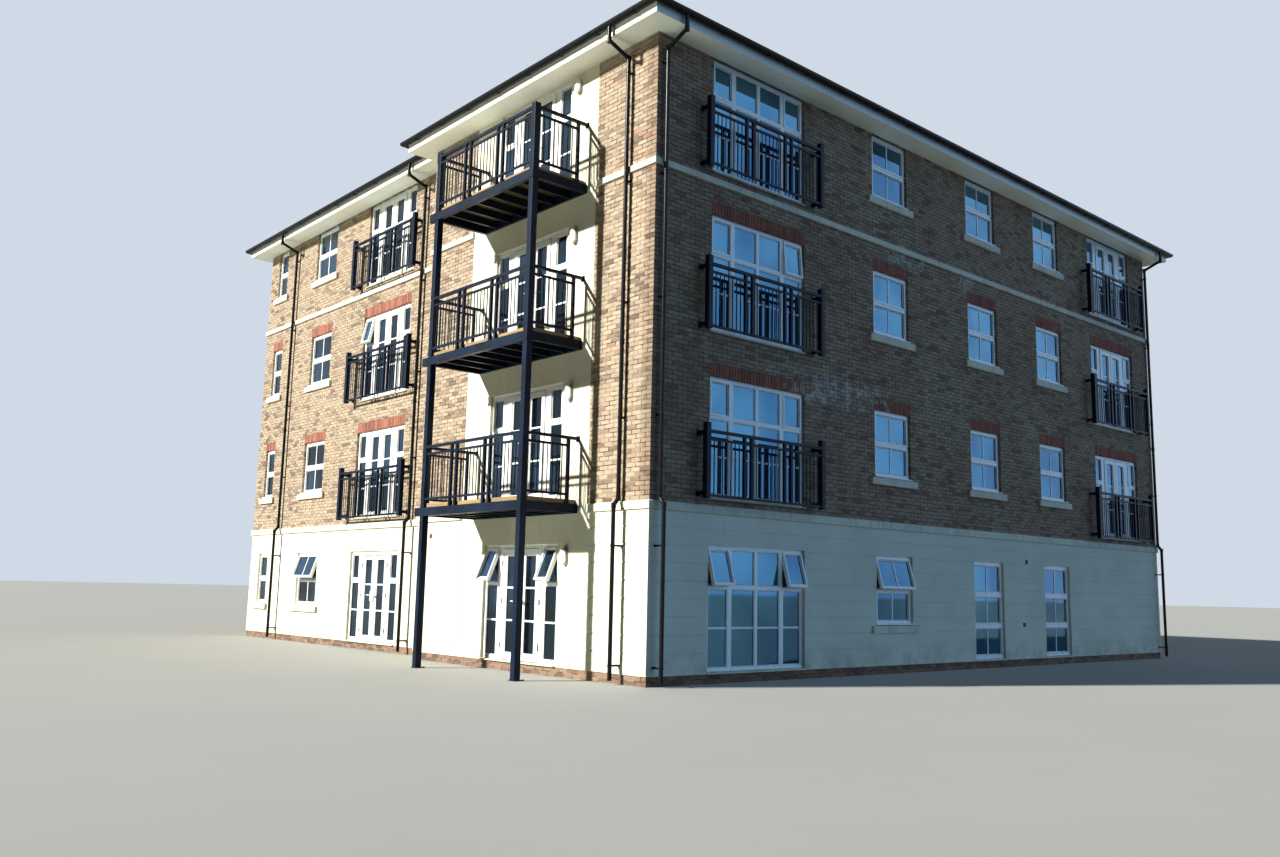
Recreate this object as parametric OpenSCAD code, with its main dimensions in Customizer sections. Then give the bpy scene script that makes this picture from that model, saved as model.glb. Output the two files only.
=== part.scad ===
// Four-storey apartment block: brick over a rendered ground floor, a stack of steel balconies,
// Juliet railings, wide eaves and a hipped roof. Sizes in millimetres, +Z up, z = 0 at ground level.
// Every wall is drawn in its own frame: x runs along the wall, y into the building, z up.

/* [Plan] */
// Length of the front wall
front_len = 17730; // [16500:10:19000]
// Depth of the block from front to rear
block_depth = 16840; // [16000:10:18500]
// Length of the forward part of the balcony side
side_len = 6950; // [6800:10:7600]
// How far the wing is set back behind the balcony side
wing_setback = 565; // [300:5:800]
// Thickness of every outer wall
wall_t = 300; // [250:5:350]

/* [Storeys] */
// Height from one finished floor to the next, 37 brick courses
storey_h = 2775; // [2700:25:2925]
// Height of the brick plinth, two courses
plinth_h = 150; // [75:75:300]
// How far the plinth sits back under the render
plinth_inset = 15; // [5:5:25]
// Thickness of the upper floors
floor_t = 250; // [150:10:300]
// Height of every window head above its floor
head_above_floor = 2040; // [1980:5:2100]
// How far each wall piece starts below its floor
wall_below_floor = 93; // [80:1:120]

/* [Stone courses] */
// Height of the band over the ground floor
band_h = 140; // [100:5:200]
// Height of the string course under the top storey
string_h = 120; // [90:5:180]
// How far both courses stand out of the wall
course_out = 40; // [20:5:60]

/* [Windows and doors] */
// Width of the wide window by the corner
wide_w = 2380; // [2200:10:2450]
// Width of a door unit with its two side lights
french_w = 2230; // [2100:10:2300]
// Width of a sash window
sash_w = 1150; // [1000:10:1200]
// Width of the narrow window at the end of the wing
narrow_w = 575; // [500:5:650]
// Height of a unit that reaches the floor
tall_h = 2010; // [1950:5:2040]
// Height of a sash window
sash_h = 1300; // [1150:10:1350]
// Height of the stone sill under a sash window
stone_sill_h = 140; // [65:5:150]
// Height of the thin sill under a unit that reaches the floor
thin_sill_h = 30; // [20:5:40]
// Distance from the wall's face to the window frame
reveal = 50; // [50:5:120]
// Depth of the window frame
frame_d = 70; // [60:5:80]
// Width of the frame's outer members
frame_w = 60; // [45:5:70]
// Thickness of the glass
glass_t = 24; // [18:2:28]

/* [Eaves and roof] */
// Height of the soffit above the ground
soffit_z = 10530; // [10515:1:10700]
// How far the eaves reach out of the walls
overhang = 450; // [350:10:600]
// Height of the fascia board
fascia_h = 220; // [160:5:260]
// Roof pitch in degrees
roof_pitch = 25; // [18:1:30]
// Vertical thickness of the roof covering and rafters
roof_t = 165; // [120:5:220]
// Width of the gutter
gutter_w = 140; // [90:5:150]

/* [Balconies and railings] */
// Where the decks start, measured along the side from the corner
deck_y0 = 1785; // [1650:5:1900]
// Length of each deck
deck_len = 3165; // [3000:5:3400]
// How far the decks stand out of the wall
deck_out = 1150; // [1050:10:1300]
// Depth of the channel beams round each deck
beam_h = 150; // [125:5:200]
// Length of the front beam past the far post
beam_past = 170; // [0:10:250]
// Width of the square posts
post_w = 120; // [100:5:140]
// Height of the balcony railings above the deck
rail_h = 1050; // [1000:10:1150]
// Height of the Juliet railings above the floor
juliet_rail_h = 1095; // [1050:5:1150]
// Greatest distance between two balusters
baluster_step = 105; // [85:5:110]

/* [Hidden] */
$fn = 32;
cut = 1;

// Bounding box of the whole block, so that the origin is the middle of its base
edge_out = overhang + gutter_w;
box_x0 = -max(deck_out, edge_out);
box_x1 = front_len + edge_out;
box_y0 = -edge_out;
box_y1 = block_depth + edge_out;
mid_x = (box_x0 + box_x1) / 2;
mid_y = (box_y0 + box_y1) / 2;

// Levels of floor k, of the head of its windows and of the foot of its wall
function floor_z(k) = plinth_h + storey_h * k;
function head_z(k) = floor_z(k) + head_above_floor;
function wall_z(k) = k == 0 ? plinth_h : floor_z(k) - wall_below_floor;
fascia_top = soffit_z + fascia_h;
roof_ring = roof_t / tan(roof_pitch);
wall_top = fascia_top + (overhang - roof_ring) * tan(roof_pitch);

// Kinds of window unit
WIDE = 0;
SASH = 1;
FRENCH = 2;
TALL = 3;
NARROW = 4;
function unit_w(kind) =
    kind == WIDE ? wide_w : kind == FRENCH ? french_w : kind == NARROW ? narrow_w : sash_w;
function unit_h(kind) = (kind == SASH || kind == NARROW) ? sash_h : tall_h;
function unit_sill(kind) = (kind == SASH || kind == NARROW) ? stone_sill_h : thin_sill_h;

// Units of each wall: [start along the wall, storey, kind]
front_wide_x = 1285;
front_sash_x = [5725, 9055, 11922];
front_french_x = 14580;
bay_door_x = 2287;
wing_door_x = 8768;
wing_sash_x = 12735;
wing_narrow_x = 15742;
rear_sash_x = [1890, 5725, 9055, 11922, 15120];
end_sash_x = [2330, 7845, 13360];
function front_units(k) = concat(
    [[front_wide_x, k, WIDE], [front_sash_x[0], k, SASH]],
    [for (i = [1, 2]) [front_sash_x[i], k, k == 0 ? TALL : SASH]],
    k == 0 ? [] : [[front_french_x, k, FRENCH]]
);
bay_units = [for (k = [1:3]) [bay_door_x, k, FRENCH]];
function wing_windows(k) = [[wing_sash_x, k, SASH], [wing_narrow_x, k, NARROW]];
wing_upper_units = [for (k = [1:3]) each concat([[wing_door_x, k, FRENCH]], wing_windows(k))];
function rear_units(k) = [for (x = rear_sash_x) [x, k, SASH]];
function end_units(k) = [for (x = end_sash_x) [x, k, SASH]];

// Extent of the rendered bay panel along the side
panel_x0 = 1526;
panel_x1 = 5352;

// Door leaves
leaf_gap = 5;
mullion_w = 150;
side_light_w = 340;
leaf_w = (french_w - 2 * (frame_w + side_light_w + mullion_w)) / 2 - 1.5 * leaf_gap;
leaf_stile = 115;

function outline(d) = [
    [-d, -d], [front_len + d, -d], [front_len + d, block_depth + d],
    [wing_setback - d, block_depth + d], [wing_setback - d, side_len + d], [-d, side_len + d]
];

module centred() {
    translate([-mid_x, -mid_y, 0]) children();
}

// Frames of the five walls
module at_side() {
    mirror([1, -1, 0]) children();
}
module at_wing() {
    translate([wing_setback, 0, 0]) at_side() children();
}
module at_rear() {
    translate([0, block_depth, 0]) mirror([0, 1, 0]) children();
}
module at_end() {
    translate([front_len, 0, 0]) mirror([1, 0, 0]) at_side() children();
}

module ring(z0, h, d_out, d_in) {
    translate([0, 0, z0])
        linear_extrude(h)
            difference() {
                polygon(outline(d_out));
                polygon(outline(d_in));
            }
}

// A profile of [distance out of the walls, height] points run round the outline with mitred corners
corner_count = 6;
module sweep(profile) {
    n = len(profile);
    polyhedron(
        points = [for (p = profile) each [for (c = outline(p[0])) [c[0], c[1], p[1]]]],
        faces = [for (j = [0:n - 1], i = [0:corner_count - 1])
            let (up = (j + 1) % n * corner_count, on = (i + 1) % corner_count)
            [j * corner_count + i, up + i, up + on, j * corner_count + on]]
    );
}

function arc(c, r, from, to, steps) =
    [for (i = [0:steps]) let (a = from + (to - from) * i / steps) [c[0] + r * cos(a), c[1] + r * sin(a)]];

// A straight stretch of wall with the holes of its units
module wall(x0, x1, z0, z1, units = []) {
    difference() {
        translate([x0, 0, z0]) cube([x1 - x0, wall_t, z1 - z0]);
        for (u = units) hole(u, z0);
    }
}

module hole(u, z0) {
    foot = head_z(u[1]) - unit_h(u[2]) - unit_sill(u[2]);
    low = foot <= z0 ? foot - cut : foot;
    translate([u[0], -cut, low])
        cube([unit_w(u[2]), wall_t + 2 * cut, head_z(u[1]) - low]);
}

// Lights of a unit: [x, z, width, height] from its lower left corner
sash_mid = 60;
function sash_lights(w, h) = let (pane = (h - 2 * frame_w - sash_mid) / 2)
    [for (i = [0, 1]) [frame_w, frame_w + i * (pane + sash_mid), w - 2 * frame_w, pane]];
transom_w = 60;
wide_side_w = 450;
wide_mullion_w = 90;
middle_bar_w = 60;
function wide_columns(w) = let (
    inner = frame_w + wide_side_w + wide_mullion_w,
    pane = (w - 2 * inner - middle_bar_w) / 2
) [
    [frame_w, wide_side_w], [inner, pane], [w - inner - pane, pane], [w - frame_w - wide_side_w, wide_side_w]
];
function vent_z(h) = h * 2 / 3 + transom_w / 2;
function upper_and_lower(column, h) = [
    [column[0], frame_w, column[1], vent_z(h) - transom_w - frame_w],
    [column[0], vent_z(h), column[1], h - frame_w - vent_z(h)]
];
function wide_lights(w, h) = [for (c = wide_columns(w)) each upper_and_lower(c, h)];
function side_columns(w) = [[frame_w, side_light_w], [w - frame_w - side_light_w, side_light_w]];
function leaf_columns(w) = [for (s = [-1, 1])
    [w / 2 + (s < 0 ? -leaf_gap / 2 - leaf_w : leaf_gap / 2) + leaf_stile, leaf_w - 2 * leaf_stile]];
function french_lights(w, h) = concat(
    [for (c = side_columns(w)) each upper_and_lower(c, h)],
    [for (c = leaf_columns(w)) [c[0], leaf_stile, c[1], h - 2 * leaf_stile]]
);
function tall_lights(w, h) = let (pane = (h - 2 * frame_w - 2 * transom_w) / 3)
    [for (i = [0:2]) [frame_w, frame_w + i * (pane + transom_w), w - 2 * frame_w, pane]];
function unit_lights(kind) = let (w = unit_w(kind), h = unit_h(kind))
    kind == WIDE ? wide_lights(w, h) : kind == FRENCH ? french_lights(w, h)
    : kind == TALL ? tall_lights(w, h) : sash_lights(w, h);

module at_unit(u) {
    translate([u[0], reveal, head_z(u[1]) - unit_h(u[2])]) children();
}

module unit_frame(u) {
    at_unit(u)
        difference() {
            cube([unit_w(u[2]), frame_d, unit_h(u[2])]);
            for (l = unit_lights(u[2]))
                translate([l[0], -cut, l[1]]) cube([l[2], frame_d + 2 * cut, l[3]]);
        }
}

module panes(lights) {
    for (l = lights)
        translate([l[0], (frame_d - glass_t) / 2, l[1]]) cube([l[2], glass_t, l[3]]);
}

module unit_glass(u) {
    at_unit(u) panes(unit_lights(u[2]));
}

stone_horn = 150;
stone_nose = 60;
thin_nose = 35;
sill_fall = 12;
drip = 8;

// Section of a sill from its nose to the given depth: level under the frame, sloped in front of it,
// with a drip groove under the nose
module sill_section(nose, depth, h) {
    function top(y) = y >= reveal ? h : h - sill_fall * (reveal - y) / (reveal + nose);
    difference() {
        polygon([for (y = depth > reveal ? [-nose, reveal, depth] : [-nose, depth]) [y, top(y)],
            [depth, 0], [-nose, 0]]);
        translate([drip - nose, -cut]) square([drip, drip * 0.75 + cut]);
    }
}

// Extrudes a section drawn in [y, z] from x0 to x1
module run(x0, x1) {
    translate([x0, 0, 0]) rotate([90, 0, 90]) linear_extrude(x1 - x0) children();
}

module unit_sill_piece(u) {
    w = unit_w(u[2]);
    h = unit_sill(u[2]);
    stone = h == stone_sill_h;
    horn = stone ? stone_horn : 0;
    nose = stone ? stone_nose : thin_nose;
    translate([u[0], 0, head_z(u[1]) - unit_h(u[2]) - h]) {
        run(0, w) sill_section(nose, wall_t, h);
        if (horn > 0)
            for (x = [-horn, w]) run(x, x + horn) sill_section(nose, 0, h);
    }
}

// Walls, floors and roof

module plinth() {
    color("saddlebrown") centred() ring(0, plinth_h, -plinth_inset, -wall_t);
}

module ground_slab() {
    color("darkgray") centred() linear_extrude(plinth_h) polygon(outline(-wall_t));
}

module upper_floors() {
    color("lightgray") centred()
        for (k = [1:3])
            translate([0, 0, floor_z(k) - floor_t]) linear_extrude(floor_t) polygon(outline(-wall_t));
}

ceiling_t = 60;
module ceiling() {
    color("white") centred()
        translate([0, 0, wall_top - ceiling_t]) linear_extrude(ceiling_t) polygon(outline(-wall_t));
}

module front_wall(k, top) {
    wall(0, front_len, wall_z(k), top, front_units(k));
}

module front_wall_ground() {
    color("ivory") centred() front_wall(0, wall_z(1));
}

module front_wall_first() {
    color("rosybrown") centred() front_wall(1, wall_z(2));
}

module front_wall_second() {
    color("rosybrown") centred() front_wall(2, wall_z(3));
}

module front_wall_third() {
    color("rosybrown") centred() front_wall(3, wall_top);
}

module side_wall_ground_near() {
    color("ivory") centred() at_side() wall(wall_t, bay_door_x, wall_z(0), wall_z(1));
}

module side_wall_ground_over() {
    color("ivory") centred() at_side() wall(bay_door_x, bay_door_x + french_w, head_z(0), wall_z(1));
}

// The stretch at the far end turns the corner back to the wing
module side_far(x0, z0, z1) {
    at_side() wall(x0, side_len, z0, z1);
    translate([wall_t, side_len - wall_t, z0]) cube([wing_setback, wall_t, z1 - z0]);
}

module side_wall_ground_far() {
    color("ivory") centred() side_far(bay_door_x + french_w, wall_z(0), wall_z(1));
}

module side_brick_upper() {
    color("darkkhaki") centred() {
        at_side() wall(wall_t, panel_x0, wall_z(1), wall_top);
        side_far(panel_x1, wall_z(1), wall_top);
    }
}

module bay_panel_upper() {
    color("ivory") centred() at_side() wall(panel_x0, panel_x1, wall_z(1), wall_top, bay_units);
}

module wing_wall_ground_near() {
    color("ivory") centred() at_wing() wall(side_len, wing_door_x, wall_z(0), wall_z(1));
}

module wing_wall_ground_over() {
    color("ivory") centred() at_wing() wall(wing_door_x, wing_door_x + french_w, head_z(0), wall_z(1));
}

module wing_wall_ground_far() {
    color("ivory") centred() at_wing()
        wall(wing_door_x + french_w, block_depth - wall_t, wall_z(0), wall_z(1), wing_windows(0));
}

module wing_wall_upper() {
    color("darkkhaki") centred() at_wing()
        wall(side_len, block_depth - wall_t, wall_z(1), wall_top, wing_upper_units);
}

module rear_wall_ground() {
    color("ivory") centred() at_rear()
        wall(wing_setback, front_len, wall_z(0), wall_z(1), rear_units(0));
}

module rear_wall_upper() {
    color("rosybrown") centred() at_rear()
        wall(wing_setback, front_len, wall_z(1), wall_top, [for (k = [1:3]) each rear_units(k)]);
}

module end_wall_ground() {
    color("ivory") centred() at_end()
        wall(wall_t, block_depth - wall_t, wall_z(0), wall_z(1), end_units(0));
}

module end_wall_upper() {
    color("rosybrown") centred() at_end()
        wall(wall_t, block_depth - wall_t, wall_z(1), wall_top, [for (k = [1:3]) each end_units(k)]);
}

// A stone course with a weathered top and a drip groove
course_fall = 18;
function course_profile(z, h) = [
    [0, z], [course_out - 2 * drip, z], [course_out - 2 * drip, z + drip], [course_out - drip, z + drip],
    [course_out - drip, z], [course_out, z], [course_out, z + h - course_fall], [0, z + h]
];

// Both courses stop at the rendered bay panel
module stone_courses() {
    color("antiquewhite") centred()
        for (c = [[wall_z(1), band_h], [wall_z(3), string_h]])
            difference() {
                sweep(course_profile(c[0] - c[1], c[1]));
                translate([-2 * course_out, panel_x0, c[0] - 2 * c[1]])
                    cube([3 * course_out, panel_x1 - panel_x0, 3 * c[1]]);
            }
}

board_t = 25;
module eaves() {
    color("white") centred() {
        ring(soffit_z, board_t, overhang, 0);
        ring(soffit_z, fascia_h, overhang, overhang - board_t);
    }
}

// Half-round gutters with a flat back against the fascia and a bead along the lip
gutter_wall = 5;
gutter_steps = 10;
gutter_r = gutter_w / 2;
gutter_drop = 25;
lip_w = 6;
lip_drop = 8;
gutter_c = [overhang + gutter_r, fascia_top - gutter_drop];
lip = [edge_out - gutter_wall - lip_w, fascia_top - lip_drop];
gutter_profile = concat(
    [[overhang, fascia_top]],
    arc(gutter_c, gutter_r, 180, 360, gutter_steps),
    [[edge_out, lip[1]], lip, [lip[0], lip[1] - lip_w], [edge_out - gutter_wall, lip[1] - lip_drop]],
    arc(gutter_c, gutter_r - gutter_wall, 360, 180, gutter_steps),
    [[overhang + gutter_wall, fascia_top]]
);
module gutters() {
    color([0.1, 0.1, 0.12]) centred() sweep(gutter_profile);
}

// Corners of a hipped roof over the outline shrunk by inset: six at the eaves, then the two ends of
// the low ridge over the forward part of the side, then the two ends of the high ridge.
function roof_points(inset) =
    let (
        out = overhang - inset,
        x0 = -out,
        x1 = front_len + out,
        xw = wing_setback - out,
        y0 = -out,
        y1 = block_depth + out,
        ys = side_len + out,
        low_run = (ys - y0) / 2,
        high_run = (y1 - y0) / 2,
        low = fascia_top + low_run * tan(roof_pitch),
        high = fascia_top + high_run * tan(roof_pitch)
    ) [
        [x0, y0, fascia_top], [x1, y0, fascia_top], [x1, y1, fascia_top],
        [xw, y1, fascia_top], [xw, ys, fascia_top], [x0, ys, fascia_top],
        [x0 + low_run, y0 + low_run, low], [xw + low_run, y0 + low_run, low],
        [xw + high_run, y0 + high_run, high], [x1 - high_run, y0 + high_run, high]
    ];
slopes = [[0, 6, 7, 8, 9, 1], [1, 9, 2], [2, 9, 8, 3], [3, 8, 7, 4], [4, 7, 6, 5], [5, 6, 0]];
roof_point_count = 10;

// A shell: the upper slopes, the same slopes lower down, and a level strip that joins them at the eaves
module roof() {
    inner = [for (s = slopes) [for (i = [len(s) - 1:-1:0]) s[i] + roof_point_count]];
    strip = [for (i = [0:corner_count - 1]) let (j = (i + 1) % corner_count)
        [i, j, j + roof_point_count, i + roof_point_count]];
    color("dimgray") centred()
        polyhedron(
            points = concat(roof_points(0), roof_points(roof_ring)),
            faces = concat(slopes, inner, strip)
        );
}

// Half-round tiles bedded over a hip or a ridge. The section's V lies just over both slopes, whose
// planes meet at the given angle either side of the upright.
cap_r = 110;
cap_drop = 55;
cap_bed = 1;
module cap_section(half_angle) {
    wing = 2 * cap_r;
    difference() {
        translate([0, -cap_drop]) circle(cap_r);
        translate([0, cap_bed])
            polygon([[0, 0], [wing, -wing / tan(half_angle)], [wing, -2 * wing], [-wing, -2 * wing],
                [-wing, -wing / tan(half_angle)]]);
    }
}

// Caps a line between two corners of the roof, starting a short way from the first
module cap(a, b, half_angle, start = 0) {
    d = b - a;
    flat = norm([d[0], d[1]]);
    translate(a)
        rotate([0, 0, atan2(d[1], d[0])])
            rotate([0, -atan2(d[2], flat), 0])
                run(start, norm(d)) cap_section(half_angle);
}

hips = [[0, 6], [5, 6], [3, 8], [1, 9], [2, 9]];
hip_half_angle = 90 - acos(pow(cos(roof_pitch), 2)) / 2;
eaves_short = 120;

// The low ridge's cap is cut along the valley where it runs into the slope behind it
module ridge_tiles() {
    p = roof_points(0);
    reach = 2 * cap_r;
    color("dimgray") centred() {
        for (h = hips) cap(p[h[0]], p[h[1]], hip_half_angle, eaves_short);
        cap(p[7], p[8], hip_half_angle);
        cap(p[8], p[9], 90 - roof_pitch);
        difference() {
            cap(p[6], p[7], 90 - roof_pitch);
            translate(p[7] - [0, 0, reach]) linear_extrude(2 * reach)
                polygon([[0, 0], [-reach, reach], [reach, reach], [reach, 0]]);
        }
    }
}

// Windows

module front_window_frames() {
    color("white") centred()
        for (k = [0:3], u = front_units(k)) unit_frame(u);
}

module side_window_frames() {
    color("white") centred() {
        at_side() for (u = bay_units) unit_frame(u);
        at_wing() for (u = concat(wing_upper_units, wing_windows(0))) unit_frame(u);
    }
}

module rear_window_frames() {
    color("white") centred()
        for (k = [0:3]) {
            at_rear() for (u = rear_units(k)) unit_frame(u);
            at_end() for (u = end_units(k)) unit_frame(u);
        }
}

module front_glass() {
    color([0.4, 0.55, 0.7, 0.5]) centred()
        for (k = [0:3], u = front_units(k)) unit_glass(u);
}

module side_glass() {
    color([0.4, 0.55, 0.7, 0.5]) centred() {
        at_side() {
            for (u = bay_units) unit_glass(u);
            door_glass([bay_door_x, 0, FRENCH]);
        }
        at_wing() {
            for (u = concat(wing_upper_units, wing_windows(0))) unit_glass(u);
            door_glass([wing_door_x, 0, FRENCH]);
        }
    }
}

module rear_glass() {
    color([0.4, 0.55, 0.7, 0.5]) centred()
        for (k = [0:3]) {
            at_rear() for (u = rear_units(k)) unit_glass(u);
            at_end() for (u = end_units(k)) unit_glass(u);
        }
}

module window_sills() {
    color("antiquewhite") centred() {
        for (k = [0:3]) {
            for (u = front_units(k)) unit_sill_piece(u);
            at_rear() for (u = rear_units(k)) unit_sill_piece(u);
            at_end() for (u = end_units(k)) unit_sill_piece(u);
        }
        at_side() for (u = concat(bay_units, [[bay_door_x, 0, FRENCH]])) unit_sill_piece(u);
        at_wing()
            for (u = concat(wing_upper_units, wing_windows(0), [[wing_door_x, 0, FRENCH]]))
                unit_sill_piece(u);
    }
}

// Railings: x runs along them, y = 0 is their outer face and z = 0 the floor beside them

rail_w = 50;
thin_rail_h = 40;
thin_rail_d = 30;
rail_gap = 85;
baluster = 14;
pair_w = 220;

// Square steel tube with rounded corners
tube_r = 10;
module tube(w, h) {
    linear_extrude(h)
        union() {
            translate([tube_r, 0]) square([w - 2 * tube_r, w]);
            translate([0, tube_r]) square([w, w - 2 * tube_r]);
            for (x = [tube_r, w - tube_r], y = [tube_r, w - tube_r]) translate([x, y]) circle(tube_r);
        }
}

module thin_rail(x0, x1, z) {
    translate([x0, (rail_w - thin_rail_d) / 2, z]) cube([x1 - x0, thin_rail_d, thin_rail_h]);
}

// Balusters between the bottom rail and the second rail
module balusters(x0, x1, low, h) {
    n = ceil((x1 - x0) / baluster_step);
    z0 = low + thin_rail_h - cut;
    z1 = h - rail_w - rail_gap - thin_rail_h + cut;
    for (i = [1:n - 1])
        translate([x0 + i * (x1 - x0) / n - baluster / 2, (rail_w - baluster) / 2, z0])
            cube([baluster, baluster, z1 - z0]);
}

// A run of railing of equal panels with a pair of uprights between them
module guard(x0, x1, h, low, foot, panels) {
    panel = (x1 - x0 - (panels - 1) * pair_w) / panels;
    translate([x0, 0, h - rail_w]) cube([x1 - x0, rail_w, rail_w]);
    for (z = [low, h - rail_w - rail_gap - thin_rail_h]) thin_rail(x0, x1, z);
    for (i = [0:panels - 1]) {
        start = x0 + i * (panel + pair_w);
        balusters(start, start + panel, low, h);
        if (i > 0)
            for (x = [start - pair_w, start - rail_w])
                translate([x, 0, foot]) cube([rail_w, rail_w, h - rail_w - foot + cut]);
    }
}

juliet_out = 245;
juliet_len = 2960;
juliet_post = 100;
juliet_foot = -15;
juliet_h = 1225;
juliet_low = 15;
rail_back = 5;
embed = 5;
bracket_z = [60, juliet_h - 190];
bracket_tube = 60;
bracket_plate = 110;
bracket_plate_t = 12;

// A railing in front of a window, on two posts that are bracketed off the wall
module juliet(u) {
    x0 = u[0] + (unit_w(u[2]) - juliet_len) / 2;
    x1 = x0 + juliet_len;
    run_x0 = x0 + juliet_post - embed;
    run_x1 = x1 - juliet_post + embed;
    translate([0, 0, floor_z(u[1])]) {
        translate([0, rail_back - juliet_out, 0])
            guard(run_x0, run_x1, juliet_rail_h, juliet_low, juliet_low + cut, 3);
        for (x = [x0, x1 - juliet_post])
            translate([x, 0, juliet_foot]) {
                translate([0, -juliet_out, 0]) tube(juliet_post, juliet_h);
                for (z = bracket_z) {
                    translate([(juliet_post - bracket_tube) / 2, juliet_post - juliet_out - cut, z])
                        cube([bracket_tube, juliet_out - juliet_post + cut, bracket_tube]);
                    translate([(juliet_post - bracket_plate) / 2, -bracket_plate_t,
                        z - (bracket_plate - bracket_tube) / 2])
                        cube([bracket_plate, bracket_plate_t, bracket_plate]);
                }
            }
    }
}

module juliet_railings() {
    color([0.08, 0.09, 0.13]) centred() {
        for (k = [1:3], u = front_units(k))
            if (u[2] == WIDE || u[2] == FRENCH) juliet(u);
        at_wing() for (k = [1:3]) juliet([wing_door_x, k, FRENCH]);
    }
}

// Balconies, in the side wall's frame: y = -deck_out is the outer face of the front beams

web_t = 8;
flange_w = 75;
flange_t = 11;
timber_h = 75;
board_h = 28;
board_gap = 6;
wall_gap = 10;
board_count = 8;
edge_back = 60;
joist_w = 50;
joist_count = 6;
ledger_d = 50;
deck_step = 20;
deck_y1 = deck_y0 + deck_len;
function deck_top(k) = floor_z(k) - deck_step;
function beam_top(k) = deck_top(k) - timber_h;
post_y = web_t - deck_out;
post_x = [deck_y0 + web_t, deck_y1 - web_t - post_w];
post_cap = 50;
base_plate = 180;
base_t = 15;
bolt_r = 9;
bolt_h = 14;
bolt_past = 15;
bolt_edge = 20;

module balcony_posts() {
    color([0.08, 0.09, 0.13]) centred() at_side()
        for (x = post_x)
            translate([x, post_y, 0]) {
                tube(post_w, deck_top(3) + rail_h + post_cap);
                translate([(post_w - base_plate) / 2, 0, 0]) cube([base_plate, base_plate, base_t]);
                for (dx = [-bolt_past, post_w + bolt_past], dy = [bolt_edge, base_plate - bolt_edge])
                    translate([dx, dy, base_t - cut]) cylinder(r = bolt_r, h = bolt_h);
            }
}

// Room for the posts through a deck
module post_holes(h) {
    for (x = post_x) translate([x, post_y, -cut]) cube([post_w, post_w, h + 2 * cut]);
}

// Section of a channel beam: the web's outer face is y = 0 and the flanges point to +y
module channel_section() {
    difference() {
        square([flange_w, beam_h]);
        translate([web_t, flange_t]) square([flange_w, beam_h - 2 * flange_t]);
    }
}

joist_x = [for (i = [1:joist_count]) deck_y0 + i * deck_len / (joist_count + 1) - joist_w / 2];

// Channels on three sides, a ledger on the wall and joists from one to the other
module deck_frame(k) {
    inside = web_t - deck_out;
    reach = -inside;
    translate([0, 0, beam_top(k) - beam_h])
        difference() {
            union() {
                translate([0, -deck_out, 0]) run(deck_y0, deck_y1 + beam_past) channel_section();
                translate([deck_y0, inside - cut, 0]) mirror([1, -1, 0]) run(0, reach) channel_section();
                translate([deck_y1, inside - cut, 0]) mirror([1, 0, 0]) mirror([1, -1, 0])
                    run(0, reach) channel_section();
                translate([deck_y0, -ledger_d, 0]) cube([deck_len, ledger_d, beam_h]);
                for (x = joist_x)
                    translate([x, inside - cut, flange_t]) cube([joist_w, reach, beam_h - flange_t]);
            }
            post_holes(beam_h);
        }
}

module balcony_decks() {
    color([0.1, 0.11, 0.14]) centred() at_side() for (k = [1:3]) deck_frame(k);
}

// Boards along the wall, an edge board round three sides and bearers over the joists
module boards(k) {
    x0 = deck_y0 + edge_back;
    x1 = deck_y1 - edge_back;
    y0 = edge_back - deck_out;
    depth = -y0 - wall_gap;
    board_w = (depth - (board_count - 1) * board_gap) / board_count;
    translate([0, 0, beam_top(k)])
        difference() {
            union() {
                for (i = [0:board_count - 1])
                    translate([x0, y0 + i * (board_w + board_gap), timber_h - board_h])
                        cube([x1 - x0, board_w, board_h]);
                translate([x0, y0, 0]) cube([x1 - x0, board_h, timber_h]);
                for (x = [x0, x1 - board_h])
                    translate([x, y0, 0]) cube([board_h, depth, timber_h - board_h + cut]);
                for (x = joist_x)
                    translate([x, y0, 0]) cube([joist_w, depth, timber_h - board_h + cut]);
            }
            post_holes(timber_h);
        }
}

module deck_boards() {
    color("peru") centred() at_side() for (k = [1:3]) boards(k);
}

return_stop = 180;
foot_rail_z = 60;
wall_plate_past = 20;
// The return of a balcony's railing, from its post back to a plate on the wall
module side_guard(x) {
    y0 = post_y + post_w;
    stop = -return_stop - y0;
    translate([x + rail_w, y0, 0])
        rotate([0, 0, 90]) {
            translate([0, 0, rail_h - rail_w]) cube([-y0, rail_w, rail_w]);
            for (z = [foot_rail_z, rail_h - rail_w - rail_gap - thin_rail_h]) thin_rail(0, stop, z);
            balusters(0, stop - rail_w, foot_rail_z, rail_h);
            translate([stop - rail_w, 0, -timber_h]) cube([rail_w, rail_w, rail_h + timber_h - rail_w + cut]);
            translate([-y0 - bracket_plate_t, -wall_plate_past, rail_h - rail_w - wall_plate_past])
                cube([bracket_plate_t, rail_w + 2 * wall_plate_past, rail_w + 2 * wall_plate_past]);
        }
}

module balcony_railings() {
    color([0.08, 0.09, 0.13]) centred() at_side()
        for (k = [1:3])
            translate([0, 0, deck_top(k)]) {
                translate([0, post_y, 0])
                    guard(post_x[0] + post_w, post_x[1], rail_h, foot_rail_z, -timber_h, 3);
                side_guard(deck_y0 + web_t);
                side_guard(deck_y1 - web_t - rail_w);
            }
}

// Rainwater pipes

pipe_r = 34;
socket_r = 40;
socket_h = 90;
socket_z = [5400, 8200];
pipe_off = 85;
pipe_foot = 60;
jog = 90;
jog_z = 2870;
jog_fall = 120;
bracket_w = 100;
bracket_h = 30;
bracket_t = 14;
bracket_arm = 24;
low_bracket_z = [270, 2110];
high_bracket_z = [4150, 6050, 8100, 10000];
neck_drop = 100;
neck_fall = 175;
outlet_gap = 0.5;
front_pipe_x = [150, 17650];
side_pipe_x = 640;
wing_pipe_x = [8240, 15000];
end_pipe_x = 16400;

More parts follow.
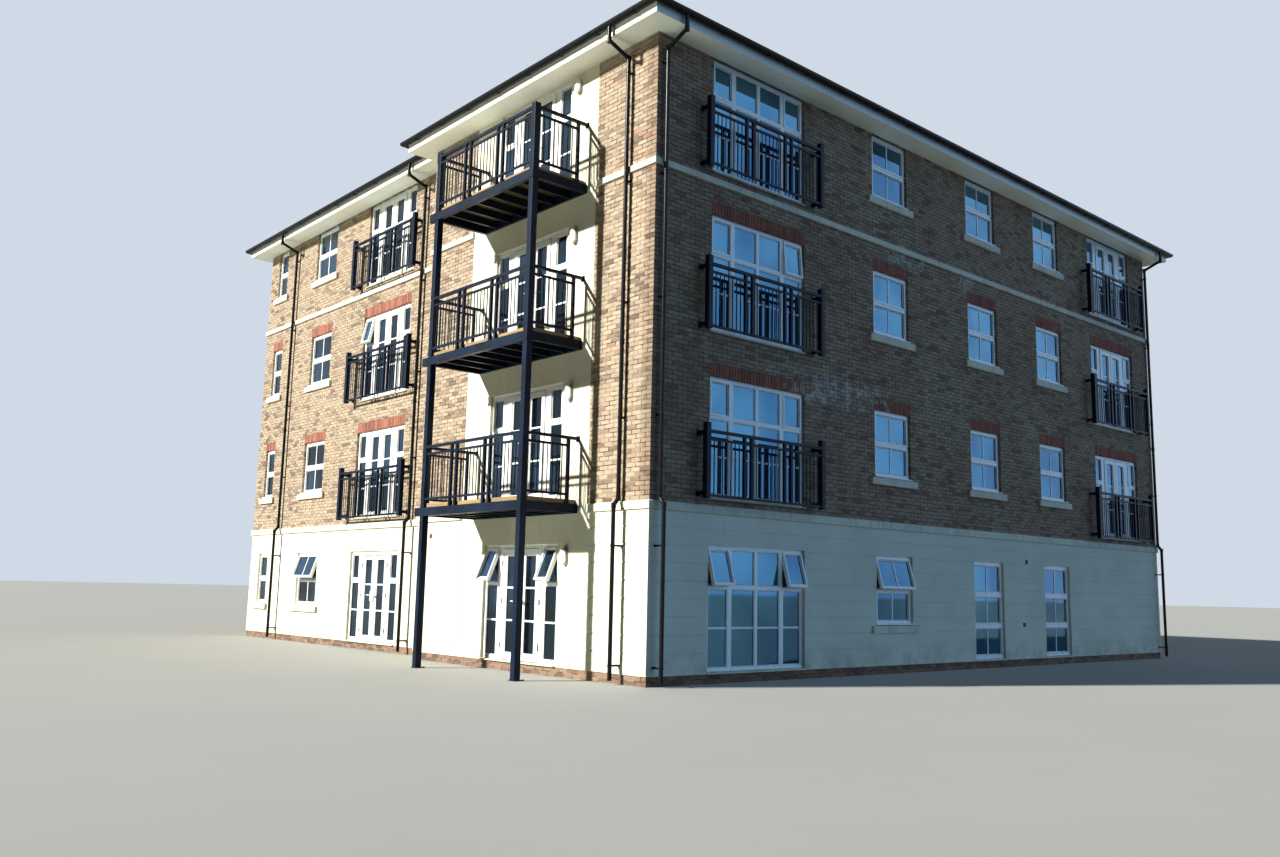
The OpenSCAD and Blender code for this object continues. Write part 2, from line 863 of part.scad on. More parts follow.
module socket(z) {
    translate([0, 0, z - socket_h / 2]) cylinder(r = socket_r, h = socket_h);
}

// A stretch of pipe that leans away from the wall as it rises
module leaning(out, rise) {
    rotate([atan2(out, rise), 0, 0]) cylinder(r = pipe_r, h = norm([out, rise]));
}

// A clip round the pipe, on an arm from a plate on the wall
module pipe_bracket(z, off) {
    translate([0, 0, z]) cylinder(r = socket_r, h = bracket_h);
    translate([-bracket_w / 2, off - bracket_t, z]) cube([bracket_w, bracket_t, bracket_h]);
    translate([-bracket_arm / 2, 0, z]) cube([bracket_arm, off - cut, bracket_h]);
}

// A pipe that stands clear of the lower wall, steps in over the stone band and swings out to the gutter
module downpipe(x) {
    throw = overhang + gutter_r - pipe_off;
    outlet = soffit_z - neck_drop;
    bend = outlet - neck_fall;
    step = jog_z - jog_fall;
    translate([x, -pipe_off, 0]) {
        translate([0, -jog, 0]) {
            translate([0, 0, pipe_foot]) cylinder(r = pipe_r, h = step - pipe_foot);
            socket(step);
            for (z = low_bracket_z) pipe_bracket(z, pipe_off + jog);
        }
        translate([0, -jog, step]) leaning(-jog, jog_fall);
        translate([0, 0, jog_z]) cylinder(r = pipe_r, h = bend - jog_z);
        for (z = concat(jog_z, socket_z, bend)) socket(z);
        for (z = high_bracket_z) pipe_bracket(z, pipe_off);
        translate([0, 0, bend]) leaning(throw, neck_fall);
        translate([0, -throw, 0]) {
            socket(outlet);
            difference() {
                translate([0, 0, outlet]) cylinder(r = pipe_r, h = gutter_c[1] - outlet);
                translate([0, 0, gutter_c[1]]) rotate([0, 90, 0])
                    cylinder(r = gutter_r + outlet_gap, h = 4 * pipe_r, center = true);
            }
        }
    }
}

module downpipes() {
    color([0.08, 0.08, 0.1]) centred() {
        for (x = front_pipe_x) downpipe(x);
        at_side() downpipe(side_pipe_x);
        at_wing() for (x = wing_pipe_x) downpipe(x);
        at_end() downpipe(end_pipe_x);
    }
}

// Oval bulkhead lights with a curved cover
light_r = 75;
light_len = 100;
light_out = 85;
light_base = 18;
light_rim = 5;
light_curve = 105;
light_side = 200;
light_drop = 270;
module oval(r) {
    for (s = [0, light_len]) translate([0, s]) circle(r);
    translate([-r, 0]) square([2 * r, light_len]);
}

module wall_lights() {
    color("whitesmoke") centred() at_side()
        for (k = [0:3])
            translate([bay_door_x - light_side, 0, head_z(k) - light_drop])
                rotate([90, 0, 0]) {
                    linear_extrude(light_base) oval(light_r + light_rim);
                    intersection() {
                        linear_extrude(light_out) oval(light_r);
                        translate([0, -2 * light_r, light_out - light_curve]) rotate([-90, 0, 0])
                            cylinder(r = light_curve, h = light_len + 4 * light_r);
                    }
                }
}

// Ground-floor doors

module door_frame_fixed(u) {
    w = unit_w(u[2]);
    h = unit_h(u[2]);
    side = frame_w + side_light_w + mullion_w;
    at_unit(u)
        difference() {
            cube([w, frame_d, h]);
            for (c = side_columns(w), l = upper_and_lower(c, h))
                translate([l[0], -cut, l[1]]) cube([l[2], frame_d + 2 * cut, l[3]]);
            translate([side, -cut, -cut]) cube([w - 2 * side, frame_d + 2 * cut, h - frame_w + cut]);
        }
}

module door_glass(u) {
    w = unit_w(u[2]);
    h = unit_h(u[2]);
    at_unit(u) panes([for (c = side_columns(w)) each upper_and_lower(c, h)]);
}

module bay_door_frame() {
    color("white") centred() at_side() door_frame_fixed([bay_door_x, 0, FRENCH]);
}

module wing_door_frame() {
    color("white") centred() at_wing() door_frame_fixed([wing_door_x, 0, FRENCH]);
}

leaf_h = tall_h - frame_w - 2 * leaf_gap;
function leaf_x(w, far) = w / 2 + (far ? leaf_gap / 2 : -leaf_gap / 2 - leaf_w);
function leaf_light(w, far) =
    [leaf_x(w, far) + leaf_stile, leaf_gap + leaf_stile, leaf_w - 2 * leaf_stile, leaf_h - 2 * leaf_stile];

// A leaf with a lever handle near its free edge
handle_len = 120;
handle_t = 20;
handle_h = 25;
handle_z = 1010;
handle_out = 45;
handle_edge = 20;
spindle_edge = 40;
module leaf(u, far) {
    w = unit_w(u[2]);
    l = leaf_light(w, far);
    at_unit(u) {
        difference() {
            translate([leaf_x(w, far), 0, leaf_gap]) cube([leaf_w, frame_d, leaf_h]);
            translate([l[0], -cut, l[1]]) cube([l[2], frame_d + 2 * cut, l[3]]);
        }
        translate([w / 2 + (far ? handle_edge : -handle_edge - handle_len), -handle_out, handle_z])
            cube([handle_len, handle_t, handle_h]);
        translate([w / 2 + (far ? spindle_edge : -spindle_edge - handle_t), -handle_out, handle_z])
            cube([handle_t, handle_out, handle_h]);
    }
}

module leaf_glass(u, far) {
    at_unit(u) panes([leaf_light(unit_w(u[2]), far)]);
}

bay_door = [bay_door_x, 0, FRENCH];
wing_door = [wing_door_x, 0, FRENCH];

// Three hinges a leaf: a knuckle on the axis, in front of the gap, and a flap on the frame
knuckle_r = 8;
knuckle_h = 100;
knuckle_out = 9;
flap_w = 40;
flap_t = 3;
hinge_end = 200;
module hinges(u) {
    w = unit_w(u[2]);
    at_unit(u)
        for (s = [-1, 1], z = [hinge_end, leaf_h / 2, leaf_h - hinge_end - knuckle_h])
            translate([w / 2 + s * (leaf_gap + leaf_w), 0, z]) {
                translate([0, -knuckle_out, 0]) cylinder(r = knuckle_r, h = knuckle_h);
                translate([s > 0 ? 0 : -flap_w, -flap_t - cut, 0]) cube([flap_w, flap_t + cut, knuckle_h]);
            }
}

module door_hinges() {
    color("silver") centred() {
        at_side() hinges(bay_door);
        at_wing() hinges(wing_door);
    }
}

module bay_near_leaf() {
    color("white") centred() at_side() leaf(bay_door, false);
}

module bay_near_glass() {
    color([0.4, 0.55, 0.7, 0.5]) centred() at_side() leaf_glass(bay_door, false);
}

module bay_far_leaf() {
    color("white") centred() at_side() leaf(bay_door, true);
}

module bay_far_glass() {
    color([0.4, 0.55, 0.7, 0.5]) centred() at_side() leaf_glass(bay_door, true);
}

module wing_near_leaf() {
    color("white") centred() at_wing() leaf(wing_door, false);
}

module wing_near_glass() {
    color([0.4, 0.55, 0.7, 0.5]) centred() at_wing() leaf_glass(wing_door, false);
}

module wing_far_leaf() {
    color("white") centred() at_wing() leaf(wing_door, true);
}

module wing_far_glass() {
    color([0.4, 0.55, 0.7, 0.5]) centred() at_wing() leaf_glass(wing_door, true);
}

plinth();
ground_slab();
upper_floors();
ceiling();
front_wall_ground();
front_wall_first();
front_wall_second();
front_wall_third();
side_wall_ground_near();
side_wall_ground_over();
side_wall_ground_far();
side_brick_upper();
bay_panel_upper();
wing_wall_ground_near();
wing_wall_ground_over();
wing_wall_ground_far();
wing_wall_upper();
rear_wall_ground();
rear_wall_upper();
end_wall_ground();
end_wall_upper();
stone_courses();
eaves();
gutters();
roof();
ridge_tiles();
front_window_frames();
side_window_frames();
rear_window_frames();
front_glass();
side_glass();
rear_glass();
window_sills();
juliet_railings();
balcony_posts();
balcony_decks();
deck_boards();
balcony_railings();
downpipes();
wall_lights();
bay_door_frame();
wing_door_frame();
door_hinges();
bay_near_leaf();
bay_near_glass();
bay_far_leaf();
bay_far_glass();
wing_near_leaf();
wing_near_glass();
wing_far_leaf();
wing_far_glass();
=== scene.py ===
import math
import random

import bpy
import numpy as np
from mathutils import Matrix, Vector


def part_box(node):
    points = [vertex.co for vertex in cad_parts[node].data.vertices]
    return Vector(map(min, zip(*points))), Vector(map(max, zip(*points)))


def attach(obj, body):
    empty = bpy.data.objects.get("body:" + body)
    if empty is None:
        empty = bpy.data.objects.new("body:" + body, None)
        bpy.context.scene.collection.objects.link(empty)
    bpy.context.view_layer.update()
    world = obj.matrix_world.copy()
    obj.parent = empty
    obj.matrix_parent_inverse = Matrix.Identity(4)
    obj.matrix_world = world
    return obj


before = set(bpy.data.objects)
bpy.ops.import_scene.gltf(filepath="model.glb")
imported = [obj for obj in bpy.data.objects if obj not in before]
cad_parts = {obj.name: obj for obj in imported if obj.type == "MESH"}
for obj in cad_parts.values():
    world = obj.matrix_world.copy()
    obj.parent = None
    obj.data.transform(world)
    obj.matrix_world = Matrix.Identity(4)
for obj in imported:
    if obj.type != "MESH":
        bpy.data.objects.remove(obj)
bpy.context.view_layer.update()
rng = random.Random(11)
UP = Vector((0, 0, 1))


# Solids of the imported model

def parts(node):
    """Lowest and highest corner of each loose solid of a CAD node."""
    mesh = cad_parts[node].data
    co = np.array([v.co for v in mesh.vertices])
    weld = np.unique(co.round(4), axis=0, return_inverse=True)[1].reshape(-1)
    root = list(range(int(weld.max()) + 1))

    def find(i):
        while root[i] != i:
            root[i] = root[root[i]]
            i = root[i]
        return i

    for e in mesh.edges:
        root[find(int(weld[e.vertices[0]]))] = find(int(weld[e.vertices[1]]))
    groups = {}
    for v, w in enumerate(weld):
        groups.setdefault(find(int(w)), []).append(v)
    return [(Vector(co[g].min(0)), Vector(co[g].max(0))) for g in groups.values()]


class Face:
    """A wall's outer face: u runs along it, n out of it and z up."""

    def __init__(self, x, y, along, out, length):
        self.o = Vector((x, y, 0))
        self.a = Vector(along)
        self.n = Vector(out)
        self.length = length
        self.flip = self.a.cross(UP).dot(self.n) < 0

    def at(self, u, n, z):
        return self.o + self.a * u + self.n * n + UP * z

    def span(self, corners):
        """(u0, u1, n0, n1, z0, z1) of a box given by two corners."""
        u = sorted((c - self.o).dot(self.a) for c in corners)
        n = sorted((c - self.o).dot(self.n) for c in corners)
        z = sorted(c.z for c in corners)
        return (*u, *n, *z)


class Tilt(Face):
    """The plane of a top-hung sash that stands open, turned about a line at depth n and height z."""

    def __init__(self, face, n, z, degrees):
        self.o, self.a, self.n, self.length, self.flip = face.o, face.a, face.n, face.length, face.flip
        self.pivot, self.turn = (n, z), math.radians(degrees)

    def at(self, u, n, z):
        dn, dz = n - self.pivot[0], z - self.pivot[1]
        c, s = math.cos(self.turn), math.sin(self.turn)
        return super().at(u, self.pivot[0] + dn * c - dz * s, self.pivot[1] + dz * c + dn * s)


lo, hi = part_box("front_wall_ground")
X0, Y0, X1 = lo.x, lo.y, hi.x
Y1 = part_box("rear_wall_upper")[1].y
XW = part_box("wing_wall_upper")[0].x
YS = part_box("side_brick_upper")[1].y
Z_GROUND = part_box("plinth")[1].z
Z_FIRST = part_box("front_wall_first")[0].z
Z_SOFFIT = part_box("eaves")[0].z
Z_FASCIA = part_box("eaves")[1].z
Z_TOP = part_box("ridge_tiles")[1].z
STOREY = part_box("front_wall_third")[0].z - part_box("front_wall_second")[0].z
PANEL = [c.y - Y0 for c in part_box("bay_panel_upper")]
BAND = sorted({(round(a.z, 4), round(b.z, 4)) for a, b in parts("stone_courses")})

front = Face(X0, Y0, (1, 0, 0), (0, -1, 0), X1 - X0)
side = Face(X0, Y0, (0, 1, 0), (-1, 0, 0), YS - Y0)
step = Face(X0, YS, (1, 0, 0), (0, 1, 0), XW - X0)
wing = Face(XW, YS, (0, 1, 0), (-1, 0, 0), Y1 - YS)
rear = Face(XW, Y1, (1, 0, 0), (0, 1, 0), X1 - XW)
end = Face(X1, Y0, (0, 1, 0), (1, 0, 0), Y1 - Y0)
FACES = [front, side, step, wing, rear, end]

FRAME_NODES = ["front_window_frames", "side_window_frames", "rear_window_frames",
               "bay_door_frame", "wing_door_frame"]
GLASS_NODES = ["front_glass", "side_glass", "rear_glass"]
loose = {n: parts(n) for n in FRAME_NODES + GLASS_NODES + ["window_sills"]}

# Between which depths from a wall's face its frames and sills lie, and how far one may pass its ends
FRAME_DEPTHS = (-0.2, -0.045)
SILL_DEPTHS = (-0.35, 0.1)
END_SLACK = 0.2


def on_face(face, nodes, depths):
    """Spans of the solids of some nodes that lie between two depths of a face."""
    spans = [face.span(corners) for node in nodes for corners in loose[node]]
    return sorted(s for s in spans if depths[0] < s[2] and s[3] < depths[1]
                  and s[0] > -END_SLACK and s[1] < face.length + END_SLACK)


for f in FACES:
    f.units = on_face(f, FRAME_NODES, FRAME_DEPTHS)
    f.panes = on_face(f, GLASS_NODES, FRAME_DEPTHS)
    f.sills = on_face(f, ["window_sills"], SILL_DEPTHS)
    f.holes = [(s[0], s[1], s[4], s[5]) for s in f.units + f.sills]


# Mesh making

# Faces of a block of eight corners: four at the back, then the four over them
BOX = ((4, 5, 6, 7), (3, 2, 1, 0), (0, 1, 5, 4), (1, 2, 6, 5), (2, 3, 7, 6), (3, 0, 4, 7))


class Build:
    """Collects solids in the row frame and turns them into one piece."""

    def __init__(self):
        self.points, self.faces, self.tones, self.kinds = [], [], [], []

    def add(self, points, faces, tone=0.5, kind=0, flip=False):
        base = len(self.points)
        self.points += [tuple(p) for p in points]
        for f in faces:
            g = [base + i for i in f]
            self.faces.append(g[::-1] if flip else g)
            self.tones.append(tone)
            self.kinds.append(kind)

    def block(self, face, u0, u1, z0, z1, n0, n1, slope=0.0, tone=0.5, kind=0):
        """A block on a wall whose outer face is drawn in by slope all round."""
        e = slope
        back = [face.at(u, n0, z) for u, z in ((u0, z0), (u1, z0), (u1, z1), (u0, z1))]
        top = [face.at(u, n1, z) for u, z in
               ((u0 + e, z0 + e), (u1 - e, z0 + e), (u1 - e, z1 - e), (u0 + e, z1 - e))]
        self.add(back + top, BOX, tone, kind, face.flip)

    def ring(self, face, rect, width, n0, n1, slope=0.004, tone=0.5, kind=0):
        """A flat mitred frame inside a rectangle."""
        def loop(inset, n):
            u0, u1, z0, z1 = rect[0] + inset, rect[1] - inset, rect[2] + inset, rect[3] - inset
            return [face.at(u, n, z) for u, z in ((u0, z0), (u1, z0), (u1, z1), (u0, z1))]
        loops = loop(0, n0) + loop(slope, n1) + loop(width - slope, n1) + loop(width, n0)
        faces = [(4 * k + i, 4 * k + (i + 1) % 4, 4 * ((k + 1) % 4) + (i + 1) % 4, 4 * ((k + 1) % 4) + i)
                 for k in range(4) for i in range(4)]
        self.add(loops, faces, tone, kind, face.flip)

    def piece(self, name, materials, slot, body="root"):
        """The finished object: tone is each face's own shade and kind its material."""
        mesh = bpy.data.meshes.new(name)
        mesh.from_pydata(self.points, [], self.faces)
        mesh.attributes.new("tone", "FLOAT", "FACE").data.foreach_set("value", self.tones)
        for m in materials:
            mesh.materials.append(m)
        mesh.polygons.foreach_set("material_index", self.kinds)
        mesh.update()
        ob = bpy.data.objects.new(name, mesh)
        bpy.context.scene.collection.objects.link(ob)
        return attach(ob, body)


def cut(rect, holes, least=0.012):
    """What is left of a rectangle (u0, u1, z0, z1) outside the holes, without the slivers."""
    left = [rect]
    for h in holes:
        rest = []
        for u0, u1, z0, z1 in left:
            a0, a1, b0, b1 = max(u0, h[0]), min(u1, h[1]), max(z0, h[2]), min(z1, h[3])
            if a0 >= a1 or b0 >= b1:
                rest.append((u0, u1, z0, z1))
            else:
                rest += [(u0, a0, z0, z1), (a1, u1, z0, z1), (a0, a1, z0, b0), (a0, a1, b1, z1)]
        left = [r for r in rest if r[1] - r[0] > least and r[3] - r[2] > least]
    return left


# Materials

def srgb(*c):
    """Linear colour of 0-255 display values."""
    lin = [(v / 255 / 12.92) if v <= 10 else ((v / 255 + 0.055) / 1.055) ** 2.4 for v in c]
    return (*lin, 1.0)


class Paint:
    """A Principled material whose nodes read the object's own coordinates."""

    def __init__(self, name, **constants):
        self.material = bpy.data.materials.new(name)
        self.material.use_nodes = True
        self.tree = self.material.node_tree
        self.shader = self.tree.nodes["Principled BSDF"]
        self.where = self.node("TexCoord").outputs["Object"]
        for key, value in constants.items():
            self.shader.inputs[key.replace("_", " ")].default_value = value

    def node(self, kind, inputs=None, **props):
        n = self.tree.nodes.new("ShaderNode" + kind)
        for k, v in props.items():
            setattr(n, k, v)
        for k, v in (inputs or {}).items():
            if isinstance(v, bpy.types.NodeSocket):
                self.tree.links.new(v, n.inputs[k])
            else:
                n.inputs[k].default_value = v
        return n

    def to(self, name, value):
        if isinstance(value, bpy.types.NodeSocket):
            self.tree.links.new(value, self.shader.inputs[name])
        else:
            self.shader.inputs[name].default_value = value
        return self

    def math(self, op, a, b=0.0, clamp=False):
        return self.node("Math", {0: a, 1: b}, operation=op, use_clamp=clamp).outputs[0]

    def times(self, *factors):
        """The product of sockets and numbers."""
        out = factors[0]
        for factor in factors[1:]:
            out = self.math("MULTIPLY", out, factor)
        return out

    def noise(self, scale, detail=2.0, rough=0.5, stretch=(1, 1, 1)):
        at = self.node("Mapping", {0: self.where, 3: stretch}).outputs[0]
        inputs = {"Vector": at, "Scale": scale, "Detail": detail, "Roughness": rough}
        return self.node("TexNoise", inputs).outputs[0]

    def cloud(self, noise, low, high):
        """Patches of 0 and 1 out of (scale, detail, roughness, stretch) noise."""
        return self.level(self.noise(*noise), low, high)

    def ramp(self, fac, stops):
        n = self.node("ValToRGB", {0: fac})
        e = n.color_ramp.elements
        while len(e) < len(stops):
            e.new(0.5)
        for el, (pos, colour) in zip(e, stops):
            el.position, el.color = pos, colour
        return n.outputs[0]

    def level(self, fac, low, high):
        """0 at low and 1 at high, smooth between."""
        n = self.node("MapRange", {0: fac, 1: low, 2: high}, interpolation_type="SMOOTHSTEP")
        return n.outputs[0]

    def mix(self, fac, a, b, blend="MIX"):
        n = self.node("Mix", {0: fac, 6: a, 7: b}, data_type="RGBA", blend_type=blend)
        return n.outputs[2]

    def axis(self, name):
        return self.node("SeparateXYZ", {0: self.where}).outputs[name]

    def bump(self, height, strength, distance):
        n = self.node("Bump", {"Height": height, "Strength": strength, "Distance": distance})
        return self.to("Normal", n.outputs[0])

    def indoors(self, depth=0.12):
        """1 where the point is further inside the block than depth, so inner faces can be plastered."""
        x, y = self.axis("X"), self.axis("Y")
        over = lambda v, k: self.math("GREATER_THAN", v, k)
        under = lambda v, k: self.math("LESS_THAN", v, k)
        in_bay = self.times(over(x, X0 + depth), under(y, YS - depth))
        left = self.math("MAXIMUM", over(x, XW + depth), in_bay)
        return self.times(left, over(y, Y0 + depth), under(y, Y1 - depth), under(x, X1 - depth))

    def streaks(self, scale=7.0):
        """Long vertical streaks, as rain leaves them."""
        return self.noise(1.0, 4.0, 0.6, (scale, scale, 0.35))


PLASTER = srgb(206, 205, 200)


def finish(p, colour, height, strength, distance):
    """Painted plaster indoors and the given colour outdoors, over a fine relief."""
    p.to("Base Color", p.mix(p.indoors(), colour, PLASTER))
    return p.bump(height, strength, distance).material


def at_front(p):
    """1 on the front wall, 0 on the others."""
    return p.level(p.axis("Y"), Y0 + 0.3, Y0 + 0.1)


# Stains on the front wall: start, end, foot and top of each, as the photo shows them
SALTS = [(3.2, 6.1, 4.93, 5.30), (6.3, 7.4, 8.08, 8.34), (8.8, 9.2, 8.02, 8.32)]
GREENS = [(0.7, 1.8, 6.2, 7.2), (0.3, 1.0, 4.2, 5.4)]


def weather(p, colour, strength=1.0):
    """Streaks of grime, painted shade that darkens and mottles the front wall, green by the corner pipe and
    salt over the heads.
    """
    x, z, before = p.axis("X"), p.axis("Z"), at_front(p)

    def patch(x0, x1, z0, z1, soft):
        inside = p.times(p.level(x, X0 + x0 - soft, X0 + x0), p.level(x, X0 + x1 + soft, X0 + x1))
        return p.times(inside, p.level(z, z0 - soft, z0), p.level(z, z1 + soft, z1), before)

    grime = p.times(p.level(p.streaks(), 0.48, 0.72), 0.20 * strength)
    colour = p.mix(grime, colour, srgb(74, 68, 58))
    # Painted shade: the front wall is multiplied darker all over and in clouded patches, as a wall in shade
    # looks.
    front_shade_patches = p.times(p.cloud((0.55, 3.0, 0.6), 0.36, 0.60), before, strength)
    front_shade_mottle = p.times(p.cloud((4.0, 5.0, 0.75, (1, 1, 2.6)), 0.47, 0.60), before, strength)
    for amount, shade in ((front_shade_patches, (0.82, 0.76, 0.79, 1)), (before, (0.89, 0.86, 0.80, 1)),
                          (front_shade_mottle, (0.74, 0.72, 0.70, 1))):
        colour = p.mix(amount, colour, shade, "MULTIPLY")
    spread, speck = p.cloud((1.6, 4.0, 0.65), 0.42, 0.62), p.cloud((4.5, 5.0, 0.7), 0.46, 0.62)
    for box in GREENS:
        colour = p.mix(p.times(patch(*box, 0.7), spread, 0.45 * strength), colour, srgb(70, 76, 50))
    for box in SALTS:
        colour = p.mix(p.times(patch(*box, 0.16), speck, 0.58 * strength), colour, srgb(206, 202, 192))
    bloom = p.times(p.cloud((0.9, 5.0, 0.7), 0.66, 0.76), p.cloud((14.0, 3.0), 0.50, 0.62), 0.35 * strength)
    return p.mix(bloom, colour, srgb(186, 180, 166))


def brick_material(name, stops, speckle=0.4):
    """Each brick's own colour from its tone, clouded inside and across the wall."""
    p = Paint(name, Roughness=0.88)
    tone = p.node("Attribute", attribute_name="tone").outputs["Fac"]
    drift = p.times(p.math("SUBTRACT", p.noise(0.35, 3.0), 0.5), 0.35)
    colour = p.ramp(p.math("ADD", tone, drift, clamp=True), stops)
    fine, grain = p.noise(38.0, 4.0, 0.65), p.noise(420.0, 2.0)
    colour = p.mix(p.times(p.level(fine, 0.35, 0.75), 0.36), colour, srgb(82, 66, 58))
    colour = p.mix(p.times(p.level(grain, 0.55, 0.8), speckle), colour, srgb(190, 176, 148))
    # weather() also paints shade onto the front wall's bricks.
    p.to("Base Color", weather(p, colour))
    return p.bump(p.math("ADD", fine, p.times(grain, 0.5)), 0.5, 0.002).material


def mortar_material():
    """Pale joints, with dark dashes of painted shadow where a brick overhangs its bed, and painted shade that
    darkens them all over on the front.
    """
    p = Paint("mortar", Roughness=0.92)
    # Painted shadow: dark dashes in the bed joints stand for the shadow under overhanging bricks.
    overhang_shadow = p.cloud((1.0, 2.0, 0.5, (4.5, 4.5, 13.0)), 0.48, 0.56)
    c = p.mix(p.times(overhang_shadow, 0.9), srgb(150, 134, 114), srgb(60, 50, 43))
    # Painted shade: the joints on the front wall are multiplied darker, and weather() darkens them further
    # there.
    c = weather(p, p.mix(at_front(p), c, (0.55, 0.55, 0.55, 1), "MULTIPLY"), 0.5)
    return finish(p, c, p.noise(260.0, 3.0, 0.6), 0.4, 0.0015)


def render_material():
    """Painted render: soft mottling, splash marks low down and run marks under the band."""
    p = Paint("painted render", Roughness=0.85)
    z = p.axis("Z")
    c = p.mix(p.cloud((0.9, 4.0, 0.55), 0.3, 0.75), srgb(226, 221, 200), srgb(212, 208, 188))
    runs = p.times(p.level(p.streaks(9.0), 0.52, 0.75), p.level(z, 2.0, 2.75), 0.14)
    c = p.mix(runs, c, srgb(128, 124, 104))
    splash = p.times(p.level(z, 0.75, 0.15), p.cloud((3.0, 5.0, 0.65), 0.35, 0.7), 0.45)
    c = p.mix(splash, c, srgb(132, 128, 100))
    mould = p.times(p.cloud((1.3, 6.0, 0.7), 0.62, 0.72), 0.18)
    c = p.mix(mould, c, srgb(120, 126, 92))
    relief = p.math("ADD", p.noise(320.0, 3.0, 0.6), p.times(p.noise(9.0, 2.0), 1.5))
    return finish(p, c, relief, 0.35, 0.002)


def stone_material():
    """Cream cast stone, fine and speckled, darker where water runs."""
    p = Paint("cast stone", Roughness=0.8)
    c = p.mix(p.cloud((2.2, 5.0, 0.6), 0.3, 0.75), srgb(224, 217, 196), srgb(200, 194, 174))
    c = p.mix(p.times(p.cloud((500.0, 2.0), 0.55, 0.75), 0.3), c, srgb(150, 138, 112))
    c = p.mix(p.times(p.level(p.streaks(12.0), 0.5, 0.72), 0.32), c, srgb(104, 104, 88))
    p.to("Base Color", c)
    return p.bump(p.noise(300.0, 3.0), 0.3, 0.001).material


def plain(name, colour, dark, rough, noise_scale=6.0, amount=0.5, bump=0.15, **constants):
    """A finish of one colour with clouding, a roughness that varies and a fine surface."""
    p = Paint(name, **constants)
    p.to("Base Color", p.mix(p.times(p.cloud((noise_scale, 5.0, 0.6), 0.35, 0.75), amount), colour, dark))
    p.to("Roughness", p.math("ADD", p.times(p.noise(noise_scale * 6, 3.0), 0.16), rough - 0.08))
    return p.bump(p.noise(160.0, 2.0), bump, 0.0006).material


def steel_paint():
    """Blue-black paint on steel with dust on top faces and rust at a few joints."""
    p = Paint("blue-black steel paint", Specular_IOR_Level=0.10)
    c = p.mix(p.cloud((2.5, 4.0), 0.35, 0.7), srgb(18, 30, 50), srgb(12, 20, 35))
    up = p.node("SeparateXYZ", {0: p.node("NewGeometry").outputs["Normal"]}).outputs["Z"]
    dust = p.times(p.level(up, 0.4, 0.95), p.cloud((11.0, 4.0), 0.3, 0.7), 0.22)
    c = p.mix(dust, c, srgb(104, 104, 98))
    rust = p.times(p.cloud((4.0, 6.0, 0.75), 0.68, 0.74), p.cloud((60.0, 3.0), 0.45, 0.6), 0.7)
    p.to("Base Color", p.mix(rust, c, srgb(110, 62, 34)))
    p.to("Roughness", p.math("ADD", 0.28, p.times(p.noise(20.0, 4.0), 0.22)))
    return p.bump(p.noise(220.0, 2.0), 0.15, 0.0005).material


def glass_material(name, low, high):
    """Double glazing: a mirror that lets some of the dark room through, its colour a painted reflection
    clouded between low and high.
    """
    p = Paint(name, Roughness=0.03, Metallic=0.85, Alpha=0.86)
    p.to("Base Color", p.mix(p.cloud((0.55, 2.0), 0.35, 0.68), low, high))
    return p.bump(p.noise(1.2, 1.0), 0.10, 0.004).material


def cap_material():
    """Hip and ridge tiles: the roof tiles' finish with a joint at each tile's end."""
    p = Paint("ridge tile", Roughness=0.85)
    z = p.axis("Z")
    on_ridge = p.level(z, Z_TOP - 0.32, Z_TOP - 0.30)
    along = p.math("ADD", p.times(z, 6.1), p.times(on_ridge, p.times(p.axis("Y"), 2.4)))
    step_up = p.math("FRACT", along)
    joint = p.level(step_up, 0.10, 0.04)
    c = p.mix(p.cloud((3.0, 5.0, 0.6), 0.3, 0.7), srgb(64, 61, 62), srgb(88, 84, 82))
    c = p.mix(p.times(p.cloud((30.0, 4.0), 0.5, 0.75), 0.3), c, srgb(116, 112, 100))
    p.to("Base Color", p.mix(p.times(joint, 0.8), c, srgb(30, 29, 29)))
    return p.bump(p.math("SUBTRACT", step_up, p.times(joint, 0.6)), 0.6, 0.012).material


def timber_material():
    """Deck boards: grain along Y, weathered brown."""
    p = Paint("deck timber", Roughness=0.75)
    grain = p.noise(9.0, 6.0, 0.65, (6, 0.35, 6))
    c = p.ramp(grain, [(0.25, srgb(98, 72, 48)), (0.5, srgb(148, 120, 76)), (0.75, srgb(178, 152, 102))])
    p.to("Base Color", p.mix(p.times(p.cloud((2.0, 4.0), 0.4, 0.7), 0.35), c, srgb(112, 106, 94)))
    return p.bump(grain, 0.4, 0.002).material


# Colours of single bricks and tiles by their tone
BRICKS = [
    (0.00, srgb(102, 83, 72)), (0.09, srgb(132, 113, 97)), (0.25, srgb(161, 143, 122)),
    (0.56, srgb(172, 155, 133)), (0.84, srgb(178, 162, 138)), (0.95, srgb(172, 144, 121)),
    (1.00, srgb(152, 120, 104)),
]
REDS = [
    (0.0, srgb(120, 66, 54)), (0.35, srgb(158, 91, 74)), (0.7, srgb(174, 106, 86)),
    (1.0, srgb(130, 71, 60)),
]
DARKS = [(0.0, srgb(92, 70, 60)), (0.5, srgb(128, 100, 82)), (1.0, srgb(146, 118, 96))]
TILES = [
    (0.0, srgb(62, 60, 62)), (0.4, srgb(80, 77, 77)), (0.75, srgb(96, 90, 86)),
    (1.0, srgb(74, 72, 70)),
]

